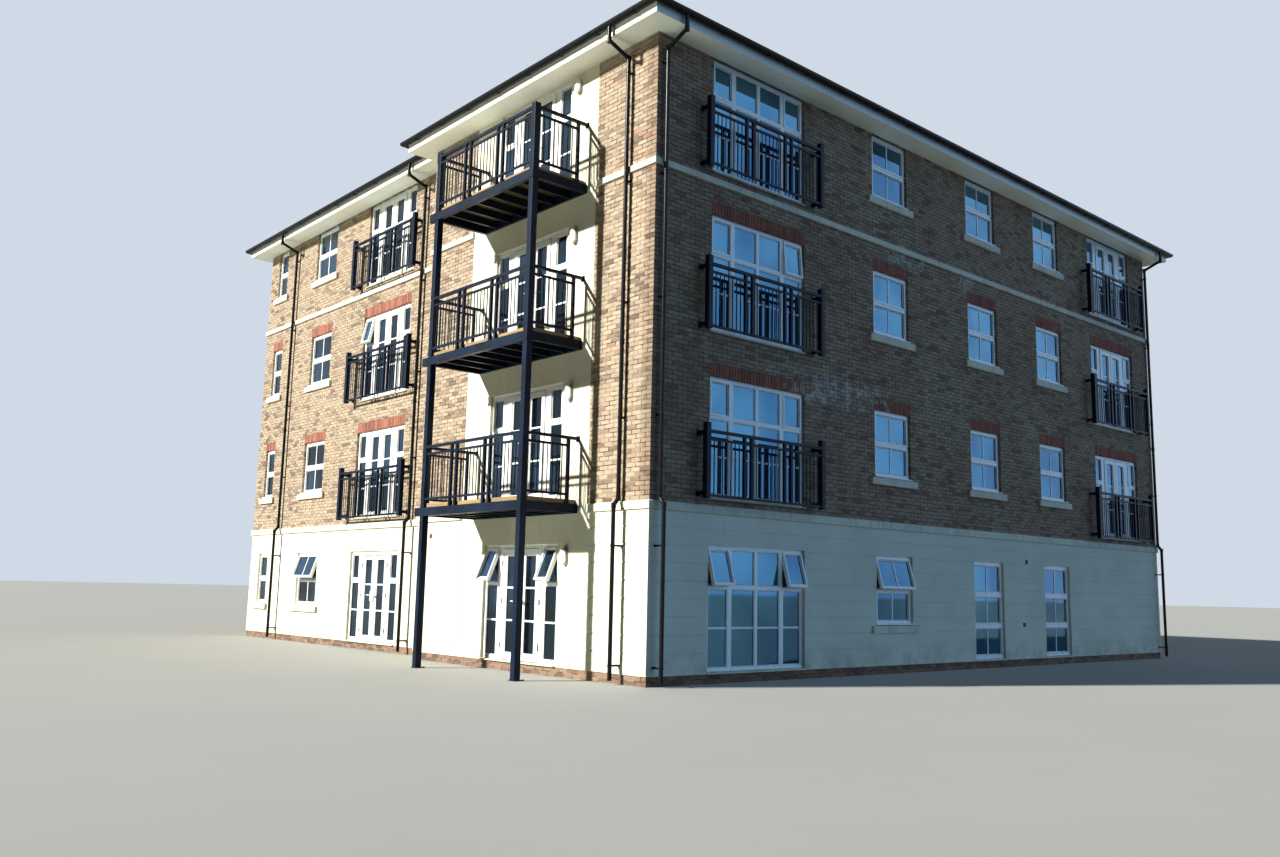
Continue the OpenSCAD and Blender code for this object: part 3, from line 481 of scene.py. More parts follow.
BRICK = brick_material("multi brick", BRICKS)
RED = brick_material("red arch brick", REDS, 0.2)
DARK = brick_material("plinth brick", DARKS, 0.15)
TILE = brick_material("roof tile", TILES, 0.1)
MORTAR = mortar_material()
RENDER = render_material()
STONE = stone_material()
PLASTERWORK = plain("plaster", PLASTER, srgb(190, 189, 184), 0.85, 2.0, 0.5)
CONCRETE = plain("concrete", srgb(168, 164, 156), srgb(140, 136, 128), 0.85, 5.0, 0.7, 0.4)
BOARD = plain("white boards", srgb(236, 235, 226), srgb(216, 214, 200), 0.42, 1.4, 0.6)
FRAME = plain("white frames", srgb(250, 251, 250), srgb(236, 238, 234), 0.28, 2.0, 0.5, 0.05)
BLACK = plain("black rainwater plastic", srgb(20, 21, 24), srgb(34, 33, 32), 0.26, 5.0, 0.5,
              Specular_IOR_Level=0.12)
GASKET = plain("gasket rubber", srgb(26, 26, 27), srgb(36, 35, 34), 0.6, 20.0, 0.5)
METAL = plain("satin metal", srgb(176, 178, 180), srgb(150, 150, 150), 0.30, 30.0, 0.5, 0.1,
              Metallic=1.0)
LAMP = plain("opal light cover", srgb(238, 236, 226), srgb(216, 212, 198), 0.32, 8.0, 0.5)
GREY = plain("grey moulding", srgb(112, 116, 116), srgb(92, 96, 96), 0.4, 12.0, 0.5)
STEEL = steel_paint()
# Painted reflection: each glazing's colours stand for what its panes mirror, sky blue in one and darker blue
# in the other.
GLASS = glass_material("glazing with painted sky reflection", srgb(57, 100, 132), srgb(84, 134, 160))
GLASS_DARK_REFLECTION = glass_material("glazing with painted darker reflection", srgb(42, 56, 66), srgb(76, 102, 124))
CAP = cap_material()
TIMBER = timber_material()


def dress(names, material, bevel=0.0):
    """Gives CAD nodes their finish, and their edges a small rounding."""
    for name in names:
        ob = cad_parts[name]
        ob.data.materials.clear()
        ob.data.materials.append(material)
        if bevel:
            m = ob.modifiers.new("edges", "BEVEL")
            m.width, m.segments, m.limit_method, m.angle_limit = bevel, 1, "ANGLE", math.radians(50)
            m.use_clamp_overlap = True


LEAVES = [f"{pair}_{leaf}" for pair in ("bay", "wing") for leaf in ("near", "far")]
RENDERED = [
    "front_wall_ground", "side_wall_ground_near", "side_wall_ground_over", "side_wall_ground_far",
    "bay_panel_upper", "wing_wall_ground_near", "wing_wall_ground_over", "wing_wall_ground_far",
    "rear_wall_ground", "end_wall_ground",
]
BRICK_WALLS = [
    "front_wall_first", "front_wall_second", "front_wall_third", "side_brick_upper",
    "wing_wall_upper", "rear_wall_upper", "end_wall_upper",
]
dress(RENDERED, RENDER)
dress(BRICK_WALLS + ["plinth"], MORTAR)
dress(["ground_slab", "upper_floors"], CONCRETE)
dress(["ceiling"], PLASTERWORK)
dress(["stone_courses", "window_sills"], STONE, 0.006)
dress(["eaves"], BOARD, 0.003)
dress(["gutters"], BLACK, 0.002)
dress(["downpipes"], BLACK)
dress(["roof"], TILE)
dress(["ridge_tiles"], CAP)
dress(FRAME_NODES + [leaf + "_leaf" for leaf in LEAVES], FRAME, 0.004)
dress(["front_glass", "rear_glass"], GLASS)
dress(["side_glass"] + [leaf + "_glass" for leaf in LEAVES], GLASS_DARK_REFLECTION)
dress(["juliet_railings", "balcony_posts", "balcony_railings", "balcony_decks"], STEEL, 0.003)
dress(["deck_boards"], TIMBER, 0.004)
dress(["door_hinges"], METAL)
dress(["wall_lights"], LAMP, 0.006)

# Brickwork

# A brick as it shows, laid long, laid end on and high, and the joint between two
BRICK_L, BRICK_W, BRICK_H, JOINT = 0.215, 0.1025, 0.065, 0.010
COURSE = BRICK_H + JOINT
# Height of an arch of bricks on end
ARCH = 0.215
# How far bricks stand out of the joints, on a wall and in a jamb, and their worn edge
PROUD, JAMB_PROUD, WORN = 0.005, 0.003, 0.003
# How deep a piece is sunk in its wall, and the smallest piece of brick that is laid
SUNK, SMALLEST = 0.002, 0.02
# How far the frames stand back from the wall's face
REVEAL = -front.units[0][3]


def lay(build, face, u0, u1, z0, z1, holes=(), corner=0, n0=-SUNK, proud=PROUD):
    """Stretcher bond: half-brick shift each course, cut at the holes."""
    course = 0
    z = z0
    while z < z1 - SMALLEST:
        top = min(z + BRICK_H, z1)
        near = [h for h in holes if h[2] < top and h[3] > z]
        u = u0 - (0 if (course + corner) % 2 else BRICK_L - BRICK_W)
        while u < u1:
            a, b = max(u, u0), min(u + BRICK_L, u1)
            tone = rng.random()
            if b - a > SMALLEST:
                for r in (cut((a, b, z, top), near) if near else [(a, b, z, top)]):
                    build.block(face, *r, n0, proud, WORN, tone)
            u += BRICK_L + JOINT
        z += COURSE
        course += 1


def jambs(face, unit):
    """The two jambs of an opening as faces of their own."""
    for u, sign in ((unit[0], 1), (unit[1], -1)):
        o = face.at(u, 0, 0)
        yield Face(o.x, o.y, face.n * -1, face.a * sign, REVEAL)


def soldier_arch(build, face, unit):
    """Bricks on end over an opening, as many as fit with even joints."""
    u0, u1, head = unit[0], unit[1], unit[5]
    count = round((u1 - u0) / COURSE)
    pitch = (u1 - u0 + JOINT) / count
    for i in range(count):
        a = u0 + i * pitch
        build.block(face, a, a + pitch - JOINT, head - WORN, head + ARCH, -REVEAL, PROUD, WORN,
                    rng.random(), 1)


def band_gaps(face):
    """The stone courses, where no brick is laid."""
    return [(-1, face.length + 1, *z) for z in BAND]


def brick_wall(name, face, u0, u1, corner=0):
    """The brick storeys of one face, with arches over the openings and bricks round their jambs."""
    b = Build()
    holes = list(face.holes) + band_gaps(face)
    openings = [s for s in face.units if u0 <= s[0] and s[1] <= u1 and s[5] > Z_FIRST]
    for s in openings:
        if s[5] + ARCH < Z_SOFFIT:
            holes.append((s[0] - JOINT, s[1] + JOINT, s[5], s[5] + ARCH + JOINT))
            soldier_arch(b, face, s)
    lay(b, face, u0, u1, Z_FIRST, Z_SOFFIT, holes, corner)
    for s in openings:
        for jamb in jambs(face, s):
            z = Z_FIRST + COURSE * math.ceil((s[4] - Z_FIRST) / COURSE)
            lay(b, jamb, 0.0, REVEAL, z, min(s[5], Z_SOFFIT), (), 1, -SUNK, JAMB_PROUD)
    return b.piece(name, [BRICK, RED], "brick")


brick_wall("bricks_front", front, -PROUD, front.length + PROUD)
side_bricks = Build()
for a, b in ((0.0, PANEL[0]), (PANEL[1], side.length + PROUD)):
    lay(side_bricks, side, a, b, Z_FIRST, Z_SOFFIT, band_gaps(side), 1)
lay(side_bricks, step, 0.0, step.length, Z_FIRST, Z_SOFFIT, band_gaps(step))
side_bricks.piece("bricks_side", [BRICK], "brick")
brick_wall("bricks_wing", wing, PROUD, wing.length, 1)
brick_wall("bricks_rear", rear, -PROUD, rear.length + PROUD)
brick_wall("bricks_end", end, 0.0, end.length, 1)

# The plinth sits back under the render, so its bricks start from its own face
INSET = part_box("plinth")[0].x - X0
PLINTH_FOOT = 0.005
plinth_bricks = Build()
for f, a, b in ((front, INSET - PROUD, front.length - INSET + PROUD), (side, INSET, side.length - INSET),
                (step, INSET, step.length + INSET), (wing, -INSET, wing.length - INSET),
                (rear, INSET, rear.length - INSET), (end, INSET, end.length - INSET)):
    lay(plinth_bricks, f, a, b, PLINTH_FOOT, Z_GROUND, (), int(f is not front), -INSET - SUNK, -INSET + PROUD)
plinth_bricks.piece("bricks_plinth", [DARK], "plinth_brick")

# Render in level strips with sunk lines between them

# Heights of the sunk lines and their width
LINE_Z = [0.475 + 0.28 * k for k in range(8)]
LINE_W = 0.014
# How far a strip stands out, how much its long edges are worn, and the shortest one that is laid
STRIP_T, STRIP_WORN, SHORTEST = 0.009, 0.006, 0.004


def strips(build, face, u0, u1):
    """Level strips with worn long edges, parted only at the openings."""
    levels = [Z_GROUND - LINE_W / 2] + LINE_Z + [BAND[0][0] + LINE_W / 2]
    for a, b in zip(levels, levels[1:]):
        a, b = a + LINE_W / 2, b - LINE_W / 2
        near = [h for h in face.holes if h[2] < b and h[3] > a and h[0] < u1 and h[1] > u0]
        steps = sorted({a, b} | {z for h in near for z in h[2:] if a < z < b})
        for z0, z1 in zip(steps, steps[1:]):
            e0, e1 = (STRIP_WORN if z0 == a else 0.0), (STRIP_WORN if z1 == b else 0.0)
            at = u0
            for h in sorted(h for h in near if h[2] < z1 and h[3] > z0) + [(u1, u1)]:
                if h[0] - at > SHORTEST:
                    loops = [(-SUNK, z0, z1), (STRIP_T, z0 + e0, z1 - e1)]
                    points = [face.at(u, n, z) for n, low, high in loops
                              for u, z in ((at, low), (h[0], low), (h[0], high), (at, high))]
                    build.add(points, BOX, flip=face.flip)
                at = max(at, h[1])


lined = Build()
strips(lined, front, -STRIP_T, front.length + STRIP_T)
strips(lined, side, 0.0, PANEL[0])
strips(lined, rear, 0.0, rear.length + STRIP_T)
strips(lined, end, 0.0, end.length)
lined.piece("render_strips", [RENDER], "render")

# Windows: sashes, beads, gaskets and glazing bars

# Widths and thicknesses of the beads, half a glazing bar and the seals
BEAD, BEAD_T = 0.018, 0.016
BAR, BAR_T = 0.017, 0.010
SEAL, SEAL_T = 0.007, 0.004
# How far trim is sunk in what carries it
BED = 0.001
# A sash laps over its frame by one width and over its pane by the other
VENT_OUT, VENT_IN = 0.018, 0.042
SASH_T = 0.014
PANE_EDGE = 0.005
# Panes higher than the first get a cross bar, leaves' panes higher than the second get two, and
# panes wider than the third get an upright one
TALL_PANE, LEAF_PANE, WIDE_PANE = 1.1, 1.7, 0.8
LEAF_PANE_W = 0.9
# Units wider than the first are wide windows, and than the second door units; lower than the third
# they stand on a stone sill
WIDE_UNIT, DOOR_UNIT, SILL_UNIT = 2.3, 2.0, 1.6
# Panes this near a unit's ends are its outer ones, and outer ones lower than the second are sashes
OUTER, SASH_H = 0.2, 1.0
# The rim of a drawn door leaf, half the gap between two, and the frame over them
STILE, LEAF_GAP, HEAD_RIM = 0.115, 0.0025, 0.062
# Handles: half widths of plate and lever, length of the lever, place beside the meeting edge
PLATE, LEVER, LEVER_L, HANDLE_X = 0.016, 0.009, 0.115, 0.045
# Heights of plate and lever over a fixed pair's foot, and of a moving leaf's handle over its own
PLATE_Z, LEVER_Z, HANDLE_Z = (0.93, 1.13), (1.045, 1.063), 1.0
# Round that handle: half height of the plate, and where the lever lies over the middle
PLATE_H, LEVER_UP = 0.11, (0.011, 0.029)
# Between which depths its plate, neck and grip lie
PLATE_N, NECK_N, GRIP_N = (-0.001, 0.007), (0.0, 0.050), (0.038, 0.052)
# White sills: height of the strip, height of its back, how far it passes the ends and stands out
MOULD, MOULD_BACK, MOULD_OVER, MOULD_OUT = 0.028, 0.034, 0.030, 0.034


def kind_of(unit):
    """Door units have two leaves between side lights and wide units four columns."""
    w = unit[1] - unit[0]
    return "wide" if w > WIDE_UNIT else "doors" if w > DOOR_UNIT else "sash"


def glazed(f, pane, beads, seals):
    """Beads, gaskets and glazing bars of one pane."""
    u0, u1, n0, n1, z0, z1 = pane
    w, h = u1 - u0, z1 - z0
    beads.ring(f, (u0, u1, z0, z1), BEAD, n1 + BED, n1 + BEAD_T)
    e = BEAD - 0.003
    seals.ring(f, (u0 + e, u1 - e, z0 + e, z1 - e), SEAL, n1 - BED, n1 + SEAL_T, BED)
    bars = []
    if h > TALL_PANE:
        rows = 3 if w < LEAF_PANE_W and h > LEAF_PANE else 2
        bars += [(u0, u1, z0 + h * k / rows - BAR, z0 + h * k / rows + BAR) for k in range(1, rows)]
    if w > WIDE_PANE:
        bars.append(((u0 + u1) / 2 - BAR, (u0 + u1) / 2 + BAR, z0, z1))
    for bar in bars:
        beads.block(f, *bar, n1 - BED, n1 + BAR_T, 0.003)
        beads.block(f, *bar, n0 - BAR_T, n0 + BED)


def sash(f, pane, face_n, degrees):
    """A sash over one pane; where it stands open it tilts, with a pane of its own."""
    u0, u1, n0, n1, z0, z1 = pane
    grown = (u0 - VENT_OUT, u1 + VENT_OUT, z0 - VENT_OUT, z1 + VENT_OUT)
    g, back = f, face_n - SUNK
    if degrees:
        g, back = Tilt(f, face_n, z1 + VENT_OUT, degrees), n0 - 0.004
        vent_panes.block(g, u0 - PANE_EDGE, u1 + PANE_EDGE, z0 - PANE_EDGE, z1 + PANE_EDGE, n0, n1)
        gaskets.ring(f, grown, 0.010, face_n - BED, face_n + 0.002, BED)
    sashes.ring(g, grown, VENT_OUT + VENT_IN - BEAD, back, face_n + SASH_T, 0.005)
    e = VENT_IN - BEAD
    glazed(g, (u0 + e, u1 - e, n0, n1, z0 + e, z1 - e), sashes, gaskets)


def shut_leaves(f, unit, panes, face_n):
    """The rims, seals and handles of a pair of leaves that never opens here."""
    mid, foot = (unit[0] + unit[1]) / 2, unit[4]
    reach = max(p[1] for p in panes if p[1] < unit[1] - OUTER) + STILE
    for a, b in ((2 * mid - reach, mid - LEAF_GAP), (mid + LEAF_GAP, reach)):
        z0, z1 = foot + 0.006, unit[5] - HEAD_RIM
        gaskets.ring(f, (a - 0.004, b + 0.004, z0 - 0.004, z1 + 0.004), 0.008, face_n - BED,
                     face_n + 0.002, BED)
        sashes.ring(f, (a + 0.003, b - 0.003, z0 + 0.003, z1 - 0.003), 0.105, face_n - SUNK,
                    face_n + SASH_T, 0.006)
    low, high, out = foot + LEVER_Z[0], foot + LEVER_Z[1], face_n + SASH_T
    plate = (foot + PLATE_Z[0], foot + PLATE_Z[1], out - SUNK, out + 0.006)
    for sign in (-1, 1):
        x = mid + sign * HANDLE_X
        sashes.block(f, x - PLATE, x + PLATE, *plate, 0.003)
        tip = sorted((x, x + sign * LEVER_L))
        sashes.block(f, *tip, low, high, face_n + 0.045, face_n + 0.060, 0.004)
        sashes.block(f, x - LEVER, x + LEVER, low, high, out, face_n + 0.058, 0.003)


def moulded_sill(f, unit, face_n):
    """The white sill: over the stone one it laps out, elsewhere it is a low strip."""
    u0, u1, low = unit[0], unit[1], unit[4] + 0.002
    if unit[5] - unit[4] < SILL_UNIT:
        sashes.block(f, u0 + 0.002, u1 - 0.002, low, low + MOULD_BACK, face_n - SUNK, 0.004, 0.004)
        sashes.block(f, u0 - MOULD_OVER, u1 + MOULD_OVER, low, low + MOULD, BED, MOULD_OUT, 0.005)
    else:
        sashes.block(f, u0 + 0.004, u1 - 0.004, low, low + MOULD, face_n - SUNK, face_n + 0.022, 0.005)


# Top lights that stand open, by face, storey and place along it: which ones, and by what angle
OPEN = {
    (front, 0, 0): ((0, 1), 15), (front, 0, 1): ((0,), 15), (front, 2, 0): ((1,), 5),
    (side, 0, 0): ((0, 1), 22), (wing, 0, 1): ((0,), 18), (wing, 2, 0): ((1,), 12),
}

sashes, gaskets, vent_panes = Build(), Build(), Build()
for f in FACES:
    seen = {}
    for unit in f.units:
        level = int((unit[4] - Z_GROUND + 0.1) / STOREY)
        seen[level] = seen.get(level, -1) + 1
        which, degrees = OPEN.get((f, level, seen[level]), ((), 0))
        panes = [p for p in f.panes
                 if unit[0] < p[0] and p[1] < unit[1] and unit[4] < p[4] and p[5] < unit[5]]
        kind, face_n = kind_of(unit), unit[3]
        top = max(p[5] for p in panes)
        outer = [p for p in panes if p[0] < unit[0] + OUTER or p[1] > unit[1] - OUTER]
        hung = sorted(p for p in outer if p[5] > top - 0.1)
        for pane in panes:
            if kind == "sash" or pane in outer and pane[5] - pane[4] < SASH_H:
                ajar = pane in hung and hung.index(pane) in which
                sash(f, pane, face_n, degrees if ajar else 0)
            else:
                glazed(f, pane, sashes, gaskets)
        moving = kind == "doors" and level == 0 and f in (side, wing)
        if kind == "doors" and not moving:
            shut_leaves(f, unit, panes, face_n)
        if not moving:
            moulded_sill(f, unit, face_n)
sashes.piece("window_sashes", [FRAME], "window_white")
gaskets.piece("window_gaskets", [GASKET], "window_white")
vent_panes.piece("open_vent_glass", [GLASS], "glass")

# The four leaves' beads, glazing bars, seals and handles move with them
for body in LEAVES:
    f = side if body.startswith("bay") else wing
    leaf, pane = f.span(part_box(body + "_leaf")), f.span(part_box(body + "_glass"))
    inner, outer_n = leaf[2], leaf[3]
    beads, seals, levers = Build(), Build(), Build()
    glazed(f, pane, beads, seals)
    rim = (leaf[0] + 0.002, leaf[1] - 0.002, leaf[4] + 0.002, leaf[5] - 0.002)
    beads.ring(f, (rim[0] + 0.006, rim[1] - 0.006, rim[2] + 0.006, rim[3] - 0.006), 0.020,
               outer_n - BED, outer_n + 0.003, 0.002)
    seals.ring(f, rim, 0.006, outer_n - BED, outer_n + 0.0015, 0.0005)
    # A near leaf meets its pair at its far edge, and a far leaf at its near edge
    meet, inward = (leaf[1], -1) if body.endswith("near") else (leaf[0], 1)
    x, z = meet + inward * HANDLE_X, leaf[4] + HANDLE_Z
    tip = sorted((x - inward * LEVER, x + inward * LEVER_L))
    for n, sign in ((outer_n, 1), (inner, -1)):
        plate, neck, grip = (sorted((n + sign * low, n + sign * high))
                             for low, high in (PLATE_N, NECK_N, GRIP_N))
        levers.block(f, x - PLATE, x + PLATE, z - PLATE_H, z + PLATE_H, *plate, 0.003)
        levers.block(f, x - LEVER, x + LEVER, z + LEVER_UP[0], z + LEVER_UP[1], *neck, 0.003)
        levers.block(f, *tip, z + LEVER_UP[0], z + LEVER_UP[1], *grip, 0.003)
    beads.piece(body + "_beads", [FRAME], "window_white", body)
    seals.piece(body + "_seals", [GASKET], "window_white", body)
    levers.piece(body + "_handles", [FRAME], "window_white", body)

# Roof tiles

roof_lo, roof_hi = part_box("roof")
OVER = X0 - roof_lo.x
RUN = (roof_hi.y - roof_lo.y) / 2
PITCH = math.atan2(roof_hi.z - Z_FASCIA, RUN)
LOW_RUN = (YS + OVER - roof_lo.y) / 2
EAVES_WING = XW - OVER
# How far apart the courses are, and how wide a tile is
GAUGE, TILE_W = 0.31, 0.30
# How high a tile's tail and head lie over the roof, and the smallest tile that is laid
TAIL, HEAD = 0.024, 0.003
SHORT_TILE, NARROW_TILE = 0.03, 0.02
# Height across one tile: flat pan and raised roll
PROFILE = [
    (0.0, 0.000), (0.05, 0.003), (0.09, 0.016), (0.13, 0.016), (0.17, 0.003), (0.22, 0.000),
    (0.27, 0.002), (TILE_W, 0.0),
]


def slopes():
    """Each slope: eaves corner, direction along the eaves, direction up in plan, its run in plan,
    and where it starts and ends at distance d from the eaves."""
    x0, x1, y0, y1 = roof_lo.x, roof_hi.x, roof_lo.y, roof_hi.y
    xw, ys = EAVES_WING, YS + OVER
    low = lambda d: d < LOW_RUN
    yield (x0, y0), (1, 0), (0, 1), RUN, lambda d: (d if low(d) else xw - x0 + d, x1 - x0 - d)
    yield (x1, y0), (0, 1), (-1, 0), RUN, lambda d: (d, y1 - y0 - d)
    yield (xw, y1), (1, 0), (0, -1), RUN, lambda d: (d, x1 - xw - d)
    yield (xw, y0), (0, 1), (1, 0), RUN, lambda d: (ys - y0 - d if low(d) else d, y1 - y0 - d)
    yield (x0, ys), (1, 0), (0, -1), LOW_RUN, lambda d: (d, xw - x0 + d)
    yield (x0, y0), (0, 1), (1, 0), LOW_RUN, lambda d: (d, ys - y0 - d)


def tile_slope(build, corner, along, up, run, extent):
    """Courses of tiles in broken bond, cut at the hips and valleys."""
    c, rise = math.cos(PITCH), math.sin(PITCH)
    a = Vector((*along, 0))
    s = Vector((up[0] * c, up[1] * c, rise))
    n = Vector((-up[0] * rise, -up[1] * rise, c))
    o = Vector((*corner, Z_FASCIA))
    flip = a.cross(s).dot(n) < 0
    k = len(PROFILE)
    faces = [(j, j + 1, k + j + 1, k + j) for j in range(k - 1)]
    faces += [(2 * k + j, 2 * k + j + 1, j + 1, j) for j in range(k - 1)]
    for row in range(int(run / c / GAUGE) + 1):
        s0, s1 = row * GAUGE, min((row + 1) * GAUGE, run / c)
        if s1 - s0 < SHORT_TILE:
            continue
        tail, head = extent(s0 * c), extent(max(s1 - 0.002, 0) * c)
        start, stop = min(tail[0], head[0]), max(tail[1], head[1])
        shift = (row % 2) * TILE_W / 2
        for i in range(math.floor((start - shift) / TILE_W), math.ceil((stop - shift) / TILE_W)):
            base = i * TILE_W + shift
            if base + TILE_W < start + NARROW_TILE or base > stop - NARROW_TILE:
                continue
            points = []
            for dist, lift, shape, ext in ((s0, TAIL, 1, tail), (s1, HEAD, 1, head), (s0, 0.0, 0, tail)):
                for w, h in PROFILE:
                    u = min(max(base + w, ext[0]), ext[1])
                    points.append(o + a * u + s * dist + n * (h * shape + lift))
            build.add(points, faces, rng.random(), 0, flip)


tiles = Build()
for slope in slopes():
    tile_slope(tiles, *slope)
tiles.piece("roof_tiles", [TILE], "roof_tile")

# Gutter unions, joints of the boards under the eaves, light rims and small wall vents

eaves_lo, eaves_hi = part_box("eaves")
GUTTER_R = (eaves_lo.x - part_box("gutters")[0].x) / 2
GUTTER_Z = Z_FASCIA - 0.025
# How thick a band is, and how far its back stays off the fascia
BAND_T, OFF_FASCIA = 0.009, 0.0005
# Distance of the unions from the ends and from each other, and half the length of a bracket's and
# a union's band
UNION_END, UNION_STEP, BRACKET, UNION = 0.45, 1.05, 0.016, 0.045
# Shorter runs have no unions. A board is at most this long, and half a joint is so wide below and
# on the fascia, which it leaves free at the top
SHORT_RUN = 1.5
BOARD_L, JOINT_BELOW, JOINT_FRONT, JOINT_TOP = 2.9, 0.011, 0.016, 0.1
ex0, ey0, ex1, ey1 = eaves_lo.x, eaves_lo.y, eaves_hi.x, eaves_hi.y
exw, eys = XW - (X0 - ex0), YS + (Y0 - ey0)
RUNS = [
    Face(ex0, ey0, (1, 0, 0), (0, -1, 0), ex1 - ex0), Face(ex1, ey0, (0, 1, 0), (1, 0, 0), ey1 - ey0),
    Face(exw, ey1, (1, 0, 0), (0, 1, 0), ex1 - exw), Face(exw, eys, (0, 1, 0), (-1, 0, 0), ey1 - eys),
    Face(ex0, eys, (1, 0, 0), (0, 1, 0), exw - ex0), Face(ex0, ey0, (0, 1, 0), (-1, 0, 0), eys - ey0),
]


def crescent(build, face, u0, u1, n, z, inner, outer, steps=8):
    """A band round the underside of a half-round gutter."""
    turns = [math.pi * k / steps for k in range(steps + 1)]
    points = [face.at(u, min(n - r * math.cos(t), 2 * n - OFF_FASCIA), z - r * math.sin(t))
              for u in (u0, u1) for r in (outer, inner) for t in turns]
    m = steps + 1
    faces = []
    for k in range(steps):
        faces += [(k, k + 1, 2 * m + k + 1, 2 * m + k), (m + k + 1, m + k, 3 * m + k, 3 * m + k + 1),
                  (k + 1, k, m + k, m + k + 1), (2 * m + k, 2 * m + k + 1, 3 * m + k + 1, 3 * m + k)]
    faces += [(0, 2 * m, 3 * m, m), (steps, m + steps, 3 * m + steps, 2 * m + steps)]
    build.add(points, faces, flip=not face.flip)


unions, board_joints = Build(), Build()
for run in RUNS:
    free = run.length - 2 * UNION_END
    count = max(1, round(free / UNION_STEP))
    for k in range(count + 1 if run.length > SHORT_RUN else 0):
        u, half = UNION_END + free * k / count, UNION if k % 3 == 1 else BRACKET
        crescent(unions, run, u - half, u + half, GUTTER_R, GUTTER_Z, GUTTER_R - BED, GUTTER_R + BAND_T)
    boards = int(run.length / BOARD_L) + 1
    for k in range(1, boards):
        u = run.length * k / boards
        soffit = (Z_SOFFIT - 0.003, Z_SOFFIT + BED, -OVER + 0.006, -0.006)
        board_joints.block(run, u - JOINT_BELOW, u + JOINT_BELOW, *soffit, BED)
        if k % 2:
            fascia = (Z_SOFFIT + BED, Z_FASCIA - JOINT_TOP, -BED, 0.003)
            board_joints.block(run, u - JOINT_FRONT, u + JOINT_FRONT, *fascia, BED)
unions.piece("gutter_unions", [BLACK], "gutter_black")

# An oval rim round each wall light: (inset from the outline, depth) of its four edges
RIM = [(0.0, 0.008), (0.0, 0.026), (0.012, 0.028), (0.012, 0.016)]
SIDES = 24

rims = Build()
for corners in parts("wall_lights"):
    u0, u1, n0, n1, z0, z1 = side.span(corners)
    r, half = (u1 - u0) / 2, (z1 - z0) / 2
    loops = []
    for inset, n in RIM:
        for t in (2 * math.pi * (k + 0.5) / SIDES for k in range(SIDES)):
            rise = (half - r) * (1 if math.sin(t) > 0 else -1)
            loops.append(side.at((u0 + u1) / 2 + (r - inset) * math.cos(t), n,
                                 (z0 + z1) / 2 + rise + (r - inset) * math.sin(t)))
    faces = [(SIDES * k + i, SIDES * k + (i + 1) % SIDES, SIDES * ((k + 1) % 4) + (i + 1) % SIDES,
              SIDES * ((k + 1) % 4) + i) for k in range(4) for i in range(SIDES)]
    rims.add(loops, faces, flip=side.flip)
rims.piece("light_rims", [GREY], "lamp")
board_joints.piece("eaves_joints", [BOARD], "eaves_board")

# Square vents: face, place along it and height; and the joint beside the render panel
VENTS = [
    (side, 6.42, 8.00), (side, 6.46, 5.24), (side, 6.45, 2.41), (front, 11.155, 2.24), (front, 10.99, 0.88),
]
VENT_HALF, VENT_T, SLOT_HALF = 0.045, 0.012, 0.034
SLATS, SLAT_FOOT, SLAT_STEP, SLAT = 4, 0.027, 0.016, 0.006
# Half the width of that joint
PANEL_JOINT = 0.006

grilles = Build()
for f, u, z in VENTS:
    base = STRIP_T if f is front else 0.0
    rim = (u - VENT_HALF, u + VENT_HALF, z - VENT_HALF, z + VENT_HALF)
    grilles.ring(f, rim, VENT_T, base - BED, base + VENT_T, 0.003)
    a, b = u - SLOT_HALF, u + SLOT_HALF
    # Painted shade: a dark sheet behind the slats stands for the shadowed hollow of the vent.
    grilles.block(f, a, b, z - SLOT_HALF, z + SLOT_HALF, base - SUNK, base + 0.003, BED, 0.5, 1)
    for k in range(SLATS):
        low = z - SLAT_FOOT + SLAT_STEP * k
        grilles.block(f, a, b, low, low + SLAT, base, base + 0.008, BED)
joint = (PANEL[1] - PANEL_JOINT, PANEL[1] + PANEL_JOINT, Z_GROUND, BAND[0][0])
grilles.block(side, *joint, -BED, 0.002, BED, 0.5, 1)
grilles.piece("wall_vents", [DARK, GASKET], "brick")

# Camera, light and floor

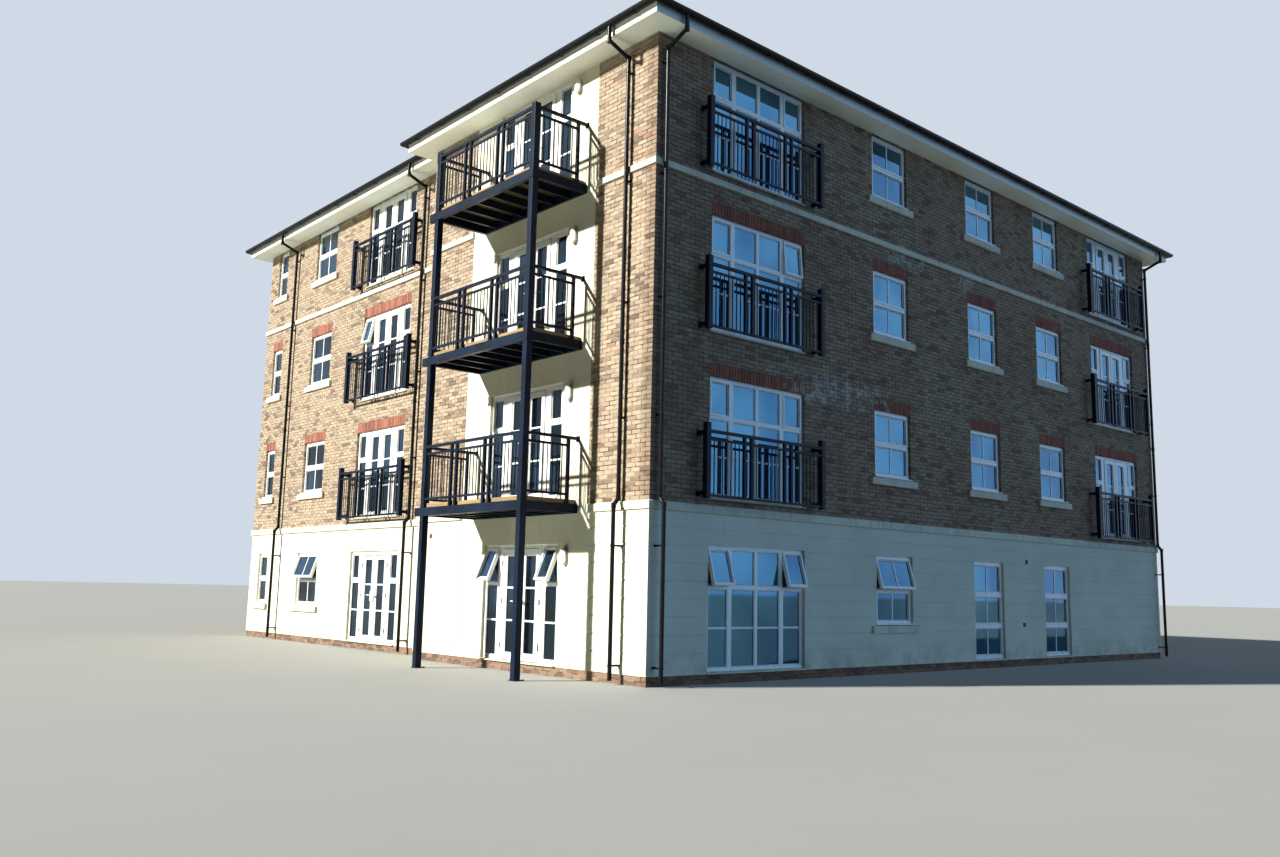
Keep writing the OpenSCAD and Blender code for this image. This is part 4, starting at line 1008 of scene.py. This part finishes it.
# The photo's camera: turn, tilt, roll, focal length and place from the front wall's near corner
YAW, PITCH_UP, ROLL = math.radians(45) + 0.0666, 0.1484, 0.0218
FOCAL_PX, WIDTH_PX, SENSOR_MM = 1080.18, 1280, 36.0
FROM_CORNER = Vector((-11.044, -12.372, 1.446))
FAR = 400
forward = Vector((math.cos(YAW) * math.cos(PITCH_UP), math.sin(YAW) * math.cos(PITCH_UP), math.sin(PITCH_UP)))
right = Vector((math.sin(YAW), -math.cos(YAW), 0))
above = right.cross(forward)
cam_x = right * math.cos(ROLL) + above * math.sin(ROLL)
cam_y = above * math.cos(ROLL) - right * math.sin(ROLL)
camera = bpy.data.objects.new("camera", bpy.data.cameras.new("camera"))
bpy.context.scene.collection.objects.link(camera)
camera.data.sensor_width = SENSOR_MM
camera.data.lens = SENSOR_MM * FOCAL_PX / WIDTH_PX
camera.data.clip_end = FAR
turn = Matrix((cam_x, cam_y, forward * -1)).transposed().to_4x4()
camera.matrix_world = Matrix.Translation(Vector((X0, Y0, 0)) + FROM_CORNER) @ turn
bpy.context.scene.camera = camera

floor_mesh = bpy.data.meshes.new("floor")
floor_corners = [(-FAR, -FAR, 0), (FAR, -FAR, 0), (FAR, FAR, 0), (-FAR, FAR, 0)]
floor_mesh.from_pydata(floor_corners, [], [(0, 1, 2, 3)])
floor = bpy.data.objects.new("floor", floor_mesh)
bpy.context.scene.collection.objects.link(floor)
floor.visible_shadow = False
floor.visible_diffuse = False
p = Paint("studio floor", Roughness=0.9)
p.to("Base Color", p.mix(p.noise(0.4, 3.0), srgb(150, 150, 147), srgb(156, 156, 152)))
floor_mesh.materials.append(p.material)

# The pale backdrop shows and is mirrored in the glass, and the suns light the walls
bpy.context.scene.view_settings.view_transform = "Standard"
world = bpy.data.worlds.new("studio")
bpy.context.scene.world = world
world.use_nodes = True
background = world.node_tree.nodes["Background"]
background.inputs[0].default_value = srgb(208, 218, 230)
background.inputs[1].default_value = 1.0
world.cycles_visibility.diffuse = False


def sun(name, direction, strength, colour, angle):
    """A lamp that shines along a direction, softer the wider its angle in degrees."""
    data = bpy.data.lights.new(name, "SUN")
    data.energy, data.color, data.angle = strength, colour, math.radians(angle)
    ob = bpy.data.objects.new(name, data)
    ob.rotation_mode = "QUATERNION"
    ob.rotation_quaternion = Vector(direction).to_track_quat("-Z", "Y")
    bpy.context.scene.collection.objects.link(ob)


sun("key", (0.80, -0.36, -0.46), 9.1, (1.0, 0.98, 0.90), 2.0)
sun("fill", (-0.50, 0.75, -0.30), 1.24, (0.29, 0.575, 0.98), 90.0)
sun("bounce", (0.50, -0.35, 0.80), 1.7, (0.93, 1.0, 0.82), 60.0)
sun("lift", (0.0, 0.10, 1.0), 0.30, (0.80, 1.0, 0.95), 60.0)
